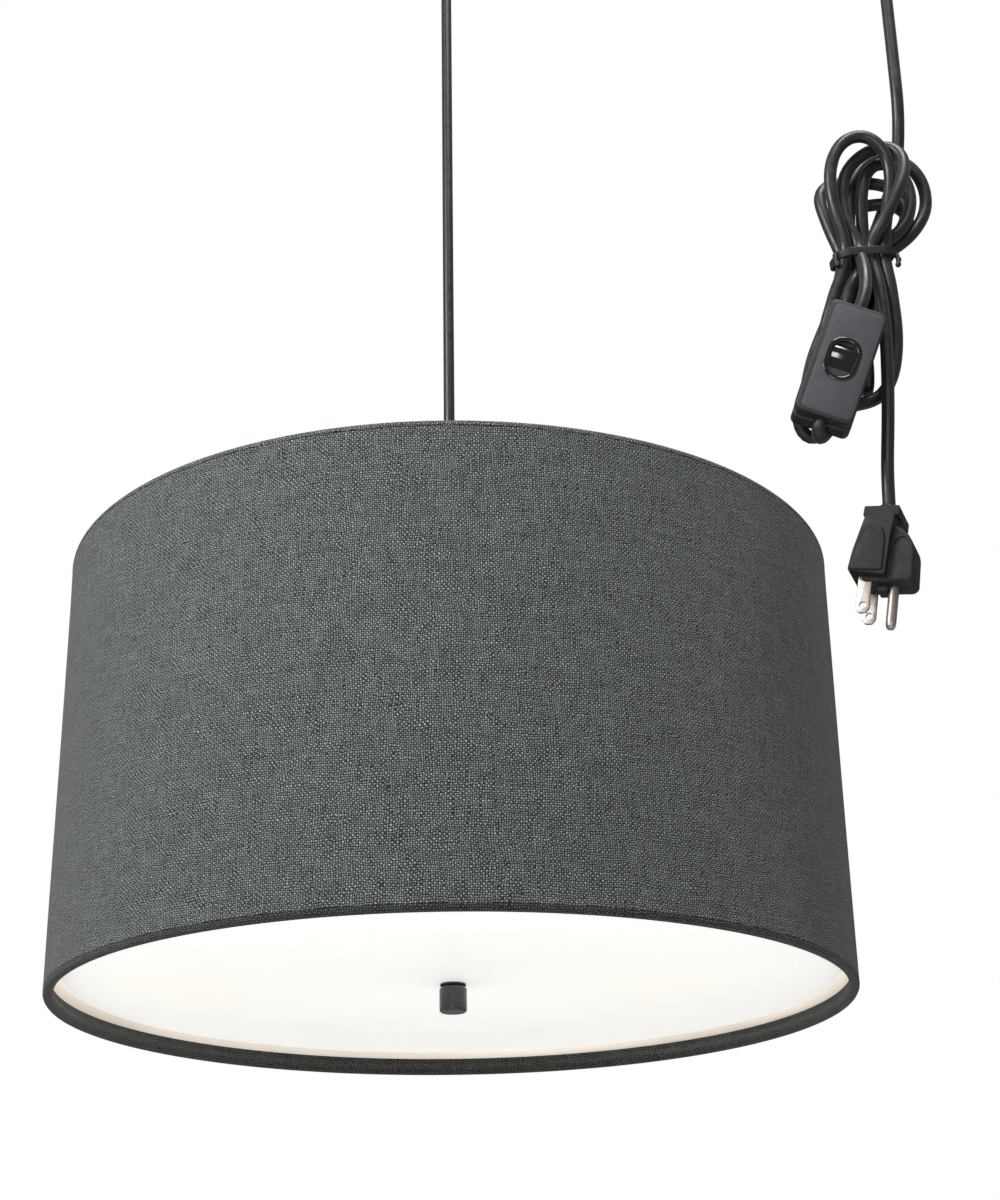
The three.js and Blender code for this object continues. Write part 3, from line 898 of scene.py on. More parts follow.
# The diffuser's glow is painted light from the bulbs behind it.
OPAL = OpalSheet(
    "Opal_acrylic", (0.96, 0.955, 0.935), rough_low=0.28, rough_high=0.4, relief=0.02, glow=0.46,
)
STRAP = Finish(
    "Strap_vinyl", (0.008, 0.008, 0.0085), rough_low=0.45, rough_high=0.6, spread=0.2,
    blotch=90.0, relief=0.04,
)
NYLON = Finish(
    "Black_nylon", (0.013, 0.013, 0.0135), rough_low=0.42, rough_high=0.58, spread=0.2,
    blotch=90.0, grain=1200.0, relief=0.04, worn=(0.06, 0.06, 0.06),
)
JACKET = Finish(
    "Cord_jacket", (0.008, 0.008, 0.0083), rough_low=0.34, rough_high=0.46, spread=0.22,
    blotch=70.0, grain=700.0, relief=0.06, sheen=0.1,
)
SHELL = Finish(
    "Switch_face", (0.05, 0.0465, 0.054), rough_low=0.5, rough_high=0.64, spread=0.1,
    blotch=55.0, grain=1400.0, relief=0.05, worn=(0.1, 0.09, 0.11), specular=0.35,
)
SHELL_BACK = Finish(
    "Switch_shell", (0.014, 0.013, 0.0155), rough_low=0.45, rough_high=0.6, spread=0.18,
    blotch=70.0, grain=1200.0, relief=0.05, worn=(0.08, 0.08, 0.09),
)
GLOSS = Finish(
    "Rocker_gloss", (0.006, 0.006, 0.007), rough_low=0.07, rough_high=0.14, spread=0.2,
    blotch=90.0, grain=500.0, relief=0.01, coat=0.6,
)
PLUG = Finish(
    "Plug_vinyl", (0.011, 0.011, 0.0113), rough_low=0.5, rough_high=0.64, spread=0.2,
    blotch=80.0, grain=1100.0, relief=0.05, worn=(0.05, 0.05, 0.05), specular=0.3,
)
NICKEL = Finish(
    "Nickel_plate", (0.38, 0.33, 0.3), rough_low=0.32, rough_high=0.46, metallic=0.8,
    spread=0.06, blotch=160.0, grain=1600.0, streak=6.0, relief=0.02, worn=(0.9, 0.86, 0.8),
)
FLOOR_PAINT = Finish(
    "Pale_floor", (0.86, 0.86, 0.85), rough_low=0.6, rough_high=0.75, spread=0.01, blotch=2.0,
    grain=60.0, relief=0.02,
)


# Sub-assemblies -----------------------------------------------------------------------------------


@dataclass
class SubAssembly:
    """A group of pieces that is built, dressed and hung on its CAD bodies."""

    pieces: dict[str, Piece] = field(default_factory=dict, init=False)

    def fit(self, piece: Piece, finish: Finish, slot: str, body: Body | None, *nodes: str) -> Piece:
        """Dresses a piece and hangs it on its body.

        Args:
            piece: The finished mesh.
            finish: Its finish.
            slot: Material slot of the record. Not used.
            body: Body that it rides on, or None to leave it on no body, as for the cord that runs
                between two.
            nodes: CAD nodes that it stands for.

        Returns:
            The piece.
        """
        piece.data.materials.clear()
        piece.data.materials.append(finish.material())
        if nodes:
            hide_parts(*nodes)
        if body is not None:
            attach(piece, body.value)
        self.pieces[piece.name] = piece
        return piece

    def dress(self, finish: Finish, *nodes: str) -> None:
        """Gives CAD nodes that stay in view a finish."""
        for node in nodes:
            for slot in frame["nodes"][node].material_slots:
                slot.material = finish.material()

    def build(self) -> None:
        """Builds the group's pieces."""
        raise NotImplementedError

    def report(self) -> None:
        """Logs the group's pieces."""
        for name, piece in self.pieces.items():
            LOG.info("%s: %s, %d faces", type(self).__name__, name, len(piece.data.polygons))


@dataclass
class DrumShade(SubAssembly):
    """The drum: cloth skin, liner, two wire rings and the cloth turned over them."""

    radius: float = 203.2
    height: float = 228.6
    skin: float = 0.8
    gap: float = 0.3
    wire_ring: float = 200.7
    wire: float = 1.4
    wire_height: float = 2.6
    segments: int = 256
    rows: int = 36
    wander: float = 0.35
    flat_margin: float = 20.0
    seam_angle: float = 62.0
    seam_half_width: float = 7.0
    seam_stand: float = 0.45
    seam_sink: float = 0.6
    hem_line: tuple[Flat, ...] = (
        (202.9, 3.1), (202.9, 1.8), (202.2, 0.7), (200.8, 0.42), (199.4, 0.7),
        (198.5, 1.9), (198.6, 3.6), (199.6, 5.2), (200.4, 6.6), (200.4, 9.5),
    )

    def unevenness(self, angle: float, radius: float, height: float) -> float:
        """Gives the reach of cloth that isn't perfectly flat on the drum."""
        inset = min(height, self.height - height) / self.flat_margin
        ease = min(1.0, max(0.0, inset))
        ripple = math.sin(5 * angle + height / 60.0) + 0.6 * math.sin(11 * angle - height / 35.0)
        return radius - self.wander * ease * (0.5 + 0.3 * ripple)

    def build(self) -> None:
        """Builds the skin, the liner, the rings, the hems and the lap seam."""
        outer, inner = self.radius, self.radius - self.skin
        low = self.hem_line[0][1] + self.gap
        levels = np.linspace(low, self.height - low, self.rows)
        profile = [(outer, float(z)) for z in levels]
        profile += [(inner, float(z)) for z in levels[::-1]]
        skin = revolve("Shade_skin", profile, LAMP_SPACE, self.segments, self.unevenness)
        self.fit(skin, CLOTH, "fabric", Body.LAMP, "shade_fabric")
        self.add_liner()
        upper = self.height - self.wire_height
        for name, middle in (("bottom_ring", self.wire_height), ("top_ring", upper)):
            section = [(self.wire_ring + x, middle + z) for x, z in circle(self.wire, 14)]
            ring = revolve(f"Wire_{name}", section, LAMP_SPACE, FINE)
            self.fit(ring, WIRE, "steel", Body.LAMP, name)
        # The bottom hem gets the cloth darkened with painted shade, the top hem the plain cloth.
        for name, flip, finish in (("bottom_hem", False, HEM_CLOTH), ("top_hem", True, CLOTH)):
            line = [(r, self.height - z if flip else z) for r, z in self.hem_line]
            hem = revolve(f"Turned_{name}", self.thick(line), LAMP_SPACE, self.segments)
            self.fit(hem, finish, "fabric", Body.LAMP, name)
        self.add_seam(low)

    def add_liner(self) -> None:
        """Builds the stiff liner behind the cloth."""
        outer = self.radius - self.skin - self.gap
        low = self.wire_height + self.wire + self.gap
        high = self.height - low
        inner = outer - self.skin
        profile = eased([(outer, low), (outer, high), (inner, high), (inner, low)], 0.2)
        liner = revolve("Shade_liner", profile, LAMP_SPACE, FINE)
        self.fit(liner, LINER, "liner", Body.LAMP, "shade_liner")

    def thick(self, line: Sequence[Flat]) -> list[Flat]:
        """Gives a line of the hem its thickness.

        Args:
            line: Radius and height along the middle of the cloth.

        Returns:
            The closed outline of the cloth.
        """
        fine = eased(line, 0.6, closed=False, steps=2)
        sides: list[list[Flat]] = [[], []]
        for i, here in enumerate(fine):
            before = Vector(fine[max(i - 1, 0)])
            after = Vector(fine[min(i + 1, len(fine) - 1)])
            way = (after - before).normalized() * self.skin * 0.45
            sides[0].append((here[0] - way.y, here[1] + way.x))
            sides[1].append((here[0] + way.y, here[1] - way.x))
        return sides[0] + sides[1][::-1]

    def add_seam(self, low: float) -> None:
        """Builds the glued lap where the cloth's ends meet, at the back."""
        middle = math.radians(self.seam_angle)
        half = self.seam_half_width / self.radius
        end = low + 0.6
        levels = np.linspace(end, self.height - end, 12)
        path = np.array([(0.0, 0.0, z) for z in levels])
        arc = [(self.radius + 0.1, middle + half * k / 4) for k in range(-4, 5)]
        back = [(self.radius - self.seam_sink, angle) for _, angle in arc[::-1]]
        front = [(r + self.seam_stand, a) for r, a in arc]
        ring = [*front, *back]
        section = [(r * math.sin(a), r * math.cos(a)) for r, a in ring]
        lap = sweep("Cloth_lap_seam", path, section, LAMP_SPACE)
        self.fit(lap, CLOTH, "fabric", Body.LAMP)


@dataclass
class Diffuser(SubAssembly):
    """The opal disc, its washer and the finial that holds it."""

    radius: float = 196.0
    height: float = 12.5
    thickness: float = 3.0
    bore: float = 3.6
    washer_radius: float = 6.6
    washer_low: float = 11.2
    washer_high: float = 12.2
    finial_line: tuple[Flat, ...] = (
        (0.0, -1.9), (3.0, -2.15), (6.1, -2.2), (7.0, -1.2), (7.0, 9.6),
        (6.1, 10.9), (3.5, 10.9), (3.5, 0.6), (0.0, 0.6),
    )

    def build(self) -> None:
        """Builds the disc and its fixings."""
        line = ring_line(self.bore, self.radius, self.height, self.height + self.thickness)
        disc = revolve("Opal_disc", eased(line, 0.7), LAMP_SPACE, FINE)
        self.fit(disc, OPAL, "diffuser", Body.DIFFUSER, "diffuser")
        line = ring_line(self.bore, self.washer_radius, self.washer_low, self.washer_high)
        washer = revolve("Finial_washer", eased(line, 0.25), LAMP_SPACE, 64)
        self.fit(washer, NYLON, "nylon", Body.DIFFUSER, "diffuser_washer")
        finial = revolve("Finial", eased(self.finial_line, 0.35, closed=False), LAMP_SPACE, 72)
        self.fit(finial, ENAMEL, "black_enamel", Body.FINIAL, "finial")


@dataclass(frozen=True)
class Nut:
    """A chamfered hexagon nut that stands for a CAD node of the same name."""

    node: str
    flats: float
    hole: float
    bottom: float
    height: float
    chamfer: float = 0.3
    corner_cut: float = 0.9

    def reach(self, angle: float, radius: float, level: float) -> float:
        """Keeps the hole round, the sides hexagonal and the corners chamfered."""
        half = self.flats / 2
        if radius <= self.hole + self.chamfer:
            return radius
        flat_reach = hex_swell(angle, radius, level)
        corner = half * 1.155 - self.corner_cut
        return min(flat_reach, corner) if radius < half - 0.05 else flat_reach

    def make(self) -> Piece:
        """Makes the nut.

        Returns:
            The piece.
        """
        hole, half, cut = self.hole, self.flats / 2, self.chamfer
        bottom, top = self.bottom, self.bottom + self.height
        profile = [
            (hole, bottom + cut), (hole + cut, bottom), (half - 0.2, bottom), (half, bottom + 0.5),
            (half, top - 0.5), (half - 0.2, top), (hole + cut, top), (hole, top - cut),
        ]
        return revolve(f"Hex_{self.node}", profile, LAMP_SPACE, 72, self.reach)


@dataclass
class HangingStack(SubAssembly):
    """Everything on the plumb line: spider, grip, nuts, nipple, cup and threaded stem."""

    hole: float = 5.1
    hub_radius: float = 19.0
    hub_low: float = 197.6
    hub_high: float = 199.6
    arm_radius: float = 1.6
    thread_pitch: float = 25.4 / 27
    thread_depth: float = 0.42
    cup_radius: float = 33.0
    cup_top: float = 195.6
    cup_bottom: float = 156.6
    cup_wall: float = 1.5
    cup_corner: float = 4.0
    socket_hole: float = 5.2
    cover_radius: float = 31.2
    cover_thickness: float = 1.8
    grip_ribs: int = 7
    rib_low: float = 217.5
    rib_pitch: float = 4.4
    rib_radius: float = 7.7
    rib_taper: float = 0.45
    rib_depth: float = 0.75
    arm_line: tuple[Point, ...] = (
        (19.5, 0, 198.6), (60, 0, 201.0), (110, 0, 207.6), (160, 0, 216.0), (198.8, 0, 225.2),
    )
    grip_foot: tuple[Flat, ...] = (
        (0.0, 216.3), (5.1, 216.3), (5.1, 206.6), (10.6, 206.6), (11.0, 207.0), (11.0, 212.0),
        (8.4, 215.2),
    )
    grip_tip: tuple[Flat, ...] = ((4.5, 249.0), (4.2, 250.0), (0.0, 250.0))
    nuts: tuple[Nut, ...] = (
        Nut("top_nut", flats=14.0, hole=5.1, bottom=200.0, height=6.2),
        Nut("cup_nut", flats=14.0, hole=5.1, bottom=187.6, height=6.0),
        Nut("stem_nut_inner", flats=11.0, hole=3.5, bottom=158.7, height=4.0),
        Nut("stem_nut_outer", flats=11.0, hole=3.5, bottom=152.3, height=4.0),
        Nut("diffuser_nut", flats=11.0, hole=3.5, bottom=15.8, height=4.0),
    )

    def rod(self, name: str, radius: float, bottom: float, top: float, bore: float) -> Piece:
        """Makes a threaded rod or nipple.

        Args:
            name: Name of the piece.
            radius: Radius over the crests.
            bottom: Height of its lower end.
            top: Height of its upper end.
            bore: Radius of the hole through it, or 0.

        Returns:
            The piece.
        """
        levels = np.arange(bottom, top, self.thread_pitch / 4)
        outside = [(radius, float(z)) for z in levels] + [(radius, top)]
        ends = [(bore, top), (bore, bottom)] if bore else [(0.0, top)]
        profile = outside + ends if bore else [(0.0, bottom), *outside, *ends]
        thread = thread_swell(self.thread_pitch, self.thread_depth, bore + 0.01)
        return revolve(name, profile, LAMP_SPACE, 28, thread)

    def build(self) -> None:
        """Builds the stack from the spider down to the nut above the diffuser."""
        hub = eased(ring_line(self.hole, self.hub_radius, self.hub_low, self.hub_high), 0.35)
        self.fit(revolve("Spider_hub", hub, LAMP_SPACE, 96), STEEL, "steel", Body.LAMP, "spider_hub")
        for i in range(3):
            turn = Matrix.Rotation(math.pi / 2 + i * 2 * math.pi / 3, 4, "Z")
            path = smooth_path(self.arm_line, 3.0)
            rod = circle(self.arm_radius, 12)
            arm = sweep(f"Spider_arm_{i + 1}", path, rod, LAMP_SPACE @ turn)
            self.fit(arm, WIRE, "steel", Body.LAMP, f"spider_arm_{i + 1}")
        self.add_grip()
        for nut in self.nuts:
            self.fit(nut.make(), STEEL, "steel", Body.LAMP, nut.node)
        nipple = self.rod("Threaded_nipple", radius=4.8, bottom=183.0, top=214.0, bore=3.3)
        self.fit(nipple, STEEL, "steel", Body.LAMP, "top_nipple")
        stem = self.rod("Threaded_stem", radius=3.17, bottom=1.5, top=172.0, bore=0.0)
        self.fit(stem, STEEL, "steel", Body.LAMP, "lower_stem")
        self.add_cup()
        self.dress(STEEL, "lock_washer")

    def add_grip(self) -> None:
        """Builds the ribbed, tapered strain relief on top."""
        ribs: list[Flat] = []
        for k in range(self.grip_ribs):
            z = self.rib_low + self.rib_pitch * k
            r = self.rib_radius - self.rib_taper * k
            groove = r - self.rib_depth
            ribs += [(r, z), (r, z + 2.3), (groove, z + 2.9), (groove, z + 3.9)]
        profile = eased([*self.grip_foot, *ribs, *self.grip_tip], 0.3, closed=False, steps=2)
        grip = revolve("Cord_grip", profile, LAMP_SPACE, 64)
        self.fit(grip, NYLON, "nylon", Body.LAMP, "cord_grip")

    def add_cup(self) -> None:
        """Builds the cup that holds the sockets, and its cover."""
        outer, top, bottom = self.cup_radius, self.cup_top, self.cup_bottom
        wall, corner = self.cup_wall, self.cup_corner
        profile = [
            (self.hole, top), (outer - corner, top), (outer, top - corner), (outer, bottom),
            (outer - wall, bottom), (outer - wall, top - 4.4), (outer - 4.6, top - wall),
            (self.hole, top - wall),
        ]
        cup = revolve("Cluster_cup", eased(profile, 0.8), LAMP_SPACE, 96)
        holes = [
            revolve("bore", plug_line(self.socket_hole, 20.0, 50.0), socket_space(turn), 32)
            for turn in (0.0, 180.0)
        ]
        cup = combine(cup, holes, "DIFFERENCE")
        self.fit(cup, ENAMEL, "black_enamel", Body.LAMP, "cluster_cup")
        line = ring_line(3.5, self.cover_radius, bottom, bottom + self.cover_thickness)
        cover = revolve("Cluster_cover", eased(line, 0.4), LAMP_SPACE, 96)
        self.fit(cover, ENAMEL, "black_enamel", Body.LAMP, "cluster_cover")


@dataclass
class LampHolder(SubAssembly):
    """One socket with its bulb, measured out along the socket's axis."""

    number: int = 1
    turn: float = 0.0
    bulb_body: Body = Body.BULB_1
    shell_radius: float = 17.0
    shell_bore: float = 15.4
    groove_radius: float = 16.55
    screw_pitch: float = 3.6
    screw_depth: float = 0.9
    screw_radius: float = 13.1
    bulb_end: float = 171.3
    glass: float = 1.3
    cap_line: tuple[Flat, ...] = (
        (3.0, 27.0), (4.8, 27.0), (4.8, 40.4), (12.0, 40.4), (17.0, 46.0), (17.0, 54.0),
        (15.4, 54.0), (15.4, 47.0), (11.4, 42.0), (3.0, 42.0),
    )
    envelope_line: tuple[Flat, ...] = (
        (13.0, 88.3), (14.0, 98.0), (19.0, 112.0), (26.0, 125.0), (29.8, 141.0), (28.0, 156.0),
        (20.0, 166.5), (10.0, 170.5), (0.0, 171.3),
    )

    def build(self) -> None:
        """Builds the cap, the shells, the threads and the bulb."""
        n, space = self.number, socket_space(self.turn)
        cap = revolve(f"Socket_cap_{n}", eased(self.cap_line, 0.8), space, 72)
        self.fit(cap, ENAMEL, "black_enamel", Body.LAMP, f"socket_cap_{n}")
        edge, groove, bore = self.shell_radius, self.groove_radius, self.shell_bore
        line: list[Flat] = [(bore, 54.3), (16.6, 54.3), (edge, 54.8)]
        for z in map(float, np.arange(58.0, 80.0, 3.0)):
            line += [(edge, z), (groove, z + 0.4), (groove, z + 1.1), (edge, z + 1.5)]
        line += [(edge, 83.4), (16.5, 84.0), (bore, 84.0)]
        shell = revolve(f"Socket_shell_{n}", line, space, 72)
        self.fit(shell, BAKELITE, "bakelite", Body.LAMP, f"socket_shell_{n}")
        self.dress(BAKELITE, f"socket_base_{n}")
        self.dress(BRASS, f"socket_contact_{n}", f"socket_thread_{n}")
        self.add_bulb(space)

    def add_bulb(self, space: Matrix) -> None:
        """Builds the screw cap and the frosted envelope of the bulb."""
        n = self.number
        levels = np.arange(68.0, 86.0, self.screw_pitch / 8)
        base = [
            (0.0, 61.0), (3.6, 61.0), (4.5, 61.6), (4.5, 63.0), (12.0, 66.5),
            *[(self.screw_radius, float(z)) for z in levels],
            (13.0, 86.6), (13.0, 88.0), (0.0, 88.0),
        ]
        thread = thread_swell(self.screw_pitch, self.screw_depth, 12.9)
        cap = revolve(f"Bulb_screw_{n}", base, space, 64, thread)
        self.fit(cap, CAP, "bulb_cap", self.bulb_body, f"bulb_base_{n}")
        curve = smooth_path([(r, 0.0, z) for r, z in self.envelope_line], 2.5)
        outside = [(max(float(r), 0.0), float(z)) for r, _, z in curve]
        outside[-1] = (0.0, self.bulb_end)
        inside = [(max(r - self.glass, 0.0), z - 1.2 * max(0.0, 1.0 - r / 12.0)) for r, z in outside]
        line = [(0.0, self.bulb_end - 1.2), *inside[-2::-1], *outside]
        envelope = revolve(f"Bulb_envelope_{n}", line, space, 64)
        self.fit(envelope, BULB, "bulb_glass", self.bulb_body, f"bulb_glass_{n}")


@dataclass
class CeilingHook(SubAssembly):
    """A ceiling hook with its plate, drilled for two screws."""

    number: int = 1
    along: float = HOOK_SETBACK
    rod: float = 2.25
    screw_offset: float = 13.0
    screw_hole: float = 2.2
    plate_line: tuple[Flat, ...] = (
        (0.0, 0.0), (20.0, 0.0), (20.0, -1.4), (18.6, -2.6), (15.0, -3.0), (6.0, -3.0),
        (4.6, -3.0), (0.0, -3.0),
    )
    hook_line: tuple[Point, ...] = (
        (0, 0, -3.2), (0, 0, -7), (0, 5, -12.5), (0, 11.5, -18), (0, 12.8, -27), (0, 8.8, -35.5),
        (0, 0, -39.6), (0, -8.8, -35.5), (0, -12.4, -27), (0, -13.4, -21),
    )

    def space(self) -> Matrix:
        """Gives the hook's frame, whose Y lies across the span."""
        x, y = self.along * math.cos(SPAN_ANGLE), self.along * math.sin(SPAN_ANGLE)
        place = Matrix.Translation((x * MM, y * MM, 0.0))
        return place @ Matrix.Rotation(SPAN_ANGLE, 4, "Z") @ WORLD_SPACE

    def build(self) -> None:
        """Builds the plate and the hook."""
        n, space = self.number, self.space()
        plate = revolve(f"Hook_plate_{n}", eased(self.plate_line, 0.5, closed=False), space, 96)
        drills = []
        for side in (-1, 1):
            at = space @ Matrix.Translation((0, self.screw_offset * side, 0))
            drills.append(revolve("drill", plug_line(self.screw_hole, -9.0, 4.0), at, 28))
        plate = combine(plate, drills, "DIFFERENCE")
        self.fit(plate, ENAMEL, "black_enamel", Body.CEILING, f"hook_plate_{n}")
        path = smooth_path(self.hook_line, 0.8)
        left = [len(path) - 1 - k for k in range(len(path))]
        taper = [min(1.0, 0.35 + 0.65 * math.sqrt(min(1.0, k / 3.0))) for k in left]
        hook = sweep(f"Ceiling_hook_{n}", path, circle(self.rod, 20), space, swell=taper)
        self.fit(hook, ENAMEL, "black_enamel", Body.CEILING, f"ceiling_hook_{n}")


@dataclass
class LampCord(SubAssembly):
    """The one lead: riser, length over both hooks, tied hank with the switch in it, and tail."""

    grip_top: float = 250.0
    rim_drop: float = -RIM_Z / MM
    tie_height: float = 328.0
    settle_rounds: int = 220
    step: float = 2.5
    sides: int = 16
    blend_near: float = 3.3
    blend_far: float = 14.0
    blend_level: float = -54.4
    strap_width: float = 27.9
    strap_depth: float = 25.6
    strap_tilt: float = 0.28
    search_every: int = 4
    search_reach: float = 1.3
    bend_allowance: float = 2.7
    push: float = 0.45
    springiness: float = 0.22
    memory: float = 0.01
    path: np.ndarray | None = field(default=None, init=False, repr=False)
    half_span: tuple[Flat, ...] = (
        (0.0, -54.1), (0.3, -50.0), (2.0, -44.5), (7.6, -36.0), (16.1, -30.4), (26.0, -28.4),
        (38.2, -31.4), (60.0, -41.8), (90.0, -52.5), (120.0, -58.2),
    )
    # Where each strand passes the tie: X and Y in four rows, the front row first.
    slots: dict[str, Flat] = field(default_factory=lambda: {
        f"{row}{k}": (start + 6.2 * k, depth)
        for row, start, depth in (
            ("A", 192.7, -188.0), ("B", 195.8, -182.6), ("C", 192.7, -177.2), ("D", 195.8, -171.8),
        )
        for k in range(4)
    })

    def turns(self) -> list[tuple[list[Point], str]]:
        """Gives the hank in the order that the cord runs.

        Returns:
            For each bow above the tie or loop below it, the points it passes (X, Y, height) and the
            place in the tie that it ends in.
        """
        return [
            ([(227.8, -174, 402), (226.5, -166.5, 387), (221, -160, 371), (214, -158, 354),
              (207, -164, 339)], "D1"),
            ([(203, -169, 312), (203, -166, 295), (195, -164, 270), (186, -163, 254),
              (177, -164, 260), (178, -166, 280), (188, -169, 302)], "D0"),
            ([(192.5, -169, 345), (194, -166.5, 358), (203, -164.5, 366), (215, -163.5, 369),
              (226, -163.5, 368), (231, -164.5, 360), (226, -166.5, 348)], "D2"),
            ([(208, -172, 310), (203, -171, 285), (192, -170, 262), (182, -170, 247),
              (172, -171, 252), (174, -173, 272), (185, -176, 300)], "C0"),
            ([(189, -176, 344), (186.5, -174.5, 357), (185.5, -173, 368), (191, -171.5, 375.5),
              (201, -170.5, 377), (214, -170, 377.5), (225, -170, 373), (229, -170.5, 363),
              (224, -172, 348)], "C2"),
            ([(204, -176, 308), (201, -173, 285), (199, -173, 265), (198.5, -178, 254),
              (198, -185, 258), (197, -187, 276), (196, -185, 304)], "B0"),
            ([(197, -181, 345), (198.5, -180, 361), (203, -178, 376), (211, -176.5, 386),
              (222, -175.5, 389), (232, -175, 384), (237.5, -175, 372), (236.5, -175.5, 357),
              (227, -176.5, 342)], "C3"),
            ([(211, -177, 312), (205, -177, 292), (192, -177, 262), (179, -178, 238),
              (170, -181, 228.5), (163.5, -185.5, 233), (170, -188, 258), (188, -188, 295)], "B1"),
            ([(203, -183, 345), (204, -184, 361), (207.5, -183, 374), (214, -181.5, 381.5),
              (222, -180, 381), (228, -179.5, 371), (228.5, -180, 358), (223, -181, 344)], "B2"),
            ([(209, -183, 305), (203, -183, 284), (192, -184, 262), (183, -185, 252),
              (176, -186, 262), (181, -187, 285)], "A0"),
            ([(190.5, -191, 338), (187.5, -193, 352), (187, -194, 366), (190.5, -194, 379),
              (197.5, -194, 387.5), (206, -194, 389), (213.5, -193, 383), (217, -191.5, 373),
              (216.5, -190.5, 360), (213.5, -189, 344)], "A3"),
            ([(212, -187.5, 312), (213.5, -187, 290), (212.5, -186, 272), (209, -184, 258),
              (203, -183, 249.5), (195, -184, 245.5), (187, -186, 243), (178.5, -189.5, 232.5),
              (171, -195.5, 221), (168.2, -200.3, 221.3), *self.through_switch(),
              (196.6, -200.9, 295), (198.9, -196.2, 310)], "A1"),
            ([(195, -187.5, 342), (193.5, -187, 355), (195, -187, 368), (200.5, -187, 378),
              (209, -188, 384.5), (217.5, -190.5, 385.5), (223, -193.5, 378), (222.5, -196, 366),
              (217, -196.5, 352), (209.5, -194, 337)], "A2"),
        ]

    def through_switch(self) -> list[Point]:
        """Gives the straight run inside the switch, from its lower end to its upper end."""
        lean = math.radians(SWITCH_LEAN)
        return [
            (SWITCH_X + z * math.sin(lean), SWITCH_CORD_Y, SWITCH_HEIGHT + z * math.cos(lean))
            for z in (-SWITCH_HALF_LENGTH, -18.6, 0, 18.6, SWITCH_HALF_LENGTH)
        ]

    def hank(self) -> np.ndarray:
        """Lays the hank and lets its strands settle beside each other.

        Returns:
            Points from above the hank to the plug, with heights above the rim.
        """
        route: list[Point] = [(228, -180, 470), (228, -180, 440), (228, -179, 418)]
        for passed, slot in self.turns():
            route += [*passed, (*self.slots[slot], self.tie_height)]
        route += [(206.5, -190.5, 306), (207, -191.5, 282), (206.3, -190, 258),
                  (205.2, -186.8, 236), (203.8, -181.8, 212), (203.3, -180, 194.6)]
        line = smooth_path(route, self.step)
        level = np.abs(line[:, 1] - SWITCH_CORD_Y) < 0.4
        in_switch = level & (np.abs(line[:, 2] - SWITCH_HEIGHT) < SWITCH_HALF_LENGTH)
        held = in_switch | (np.abs(line[:, 2] - self.tie_height) < 1.3)
        held[:3] = held[-4:] = True
        return self.settled(line, held)

    def settled(self, line: np.ndarray, held: np.ndarray) -> np.ndarray:
        """Pushes strands that lie in each other apart and keeps the cord springy.

        Args:
            line: Points of the cord.
            held: Which points stay where they are.

        Returns:
            The settled points.
        """
        thick, count, step = 2 * CORD_RADIUS, len(line), self.step
        apart = math.ceil(self.bend_allowance * thick / step)
        first, second = np.triu_indices(count, apart)
        free = (~held)[:, None]
        home = line.copy()
        for turn in range(self.settle_rounds):
            if turn % self.search_every == 0:
                spacing = np.linalg.norm(line[second] - line[first], axis=1)
                close = spacing < self.search_reach * thick
                i, j = first[close], second[close]
            gap = line[j] - line[i]
            size = np.maximum(np.linalg.norm(gap, axis=1), 1e-6)
            push = (np.maximum(thick - size, 0.0) / size * self.push)[:, None] * gap
            move, share = np.zeros_like(line), np.zeros(count)
            np.add.at(move, i, -push)
            np.add.at(move, j, push)
            touching = (size < thick).astype(float)
            np.add.at(share, i, touching)
            np.add.at(share, j, touching)
            line = line + free * move / np.maximum(share, 1.0)[:, None]
            sag = np.zeros_like(line)
            sag[1:-1] = (line[:-2] + line[2:]) / 2 - line[1:-1]
            stiff = np.zeros_like(line)
            stiff[1:-1] = sag[1:-1] - (sag[:-2] + sag[2:]) / 2
            line = line + free * (self.springiness * stiff + self.memory * (home - line))
        return line

    def whole_path(self) -> np.ndarray:
        """Gives the whole cord in millimetres in the row frame.

        Returns:
            Points from the grip to the plug.
        """
        grip = self.grip_top - self.rim_drop
        riser = [(0.0, 0.0, grip + z) for z in (0.3, 120.0, 240.0, 360.0, 440.0)]
        half = [(s, z) for s, z in self.half_span]
        over = [*half, (SPAN / 2, -59.9), *[(SPAN - s, z) for s, z in half[::-1]]]
        span = [(s * math.cos(SPAN_ANGLE), s * math.sin(SPAN_ANGLE), z) for s, z in over]
        hank = self.hank() - np.array((0.0, 0.0, self.rim_drop))
        drop = [(DROP_X, DROP_Y, z) for z in (-110.0, -170.0, -230.0, -280.0)]
        start = smooth_path([*riser, *span, *drop, tuple(hank[0])], self.step)
        return respaced(np.vstack([start[:-1], hank]), self.step)

    def build(self) -> None:
        """Builds the cord as one tube, and the strap round its hank."""
        path = self.whole_path()
        cord = sweep("Lamp_cord", path, circle(CORD_RADIUS, self.sides), WORLD_SPACE)
        nodes = ("cord_riser", "cord_swag", "cord_hank", "cord_tail")
        self.fit(cord, JACKET, "cord", None, *nodes)
        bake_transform(cord)
        self.path = path * MM
        self.add_strap()

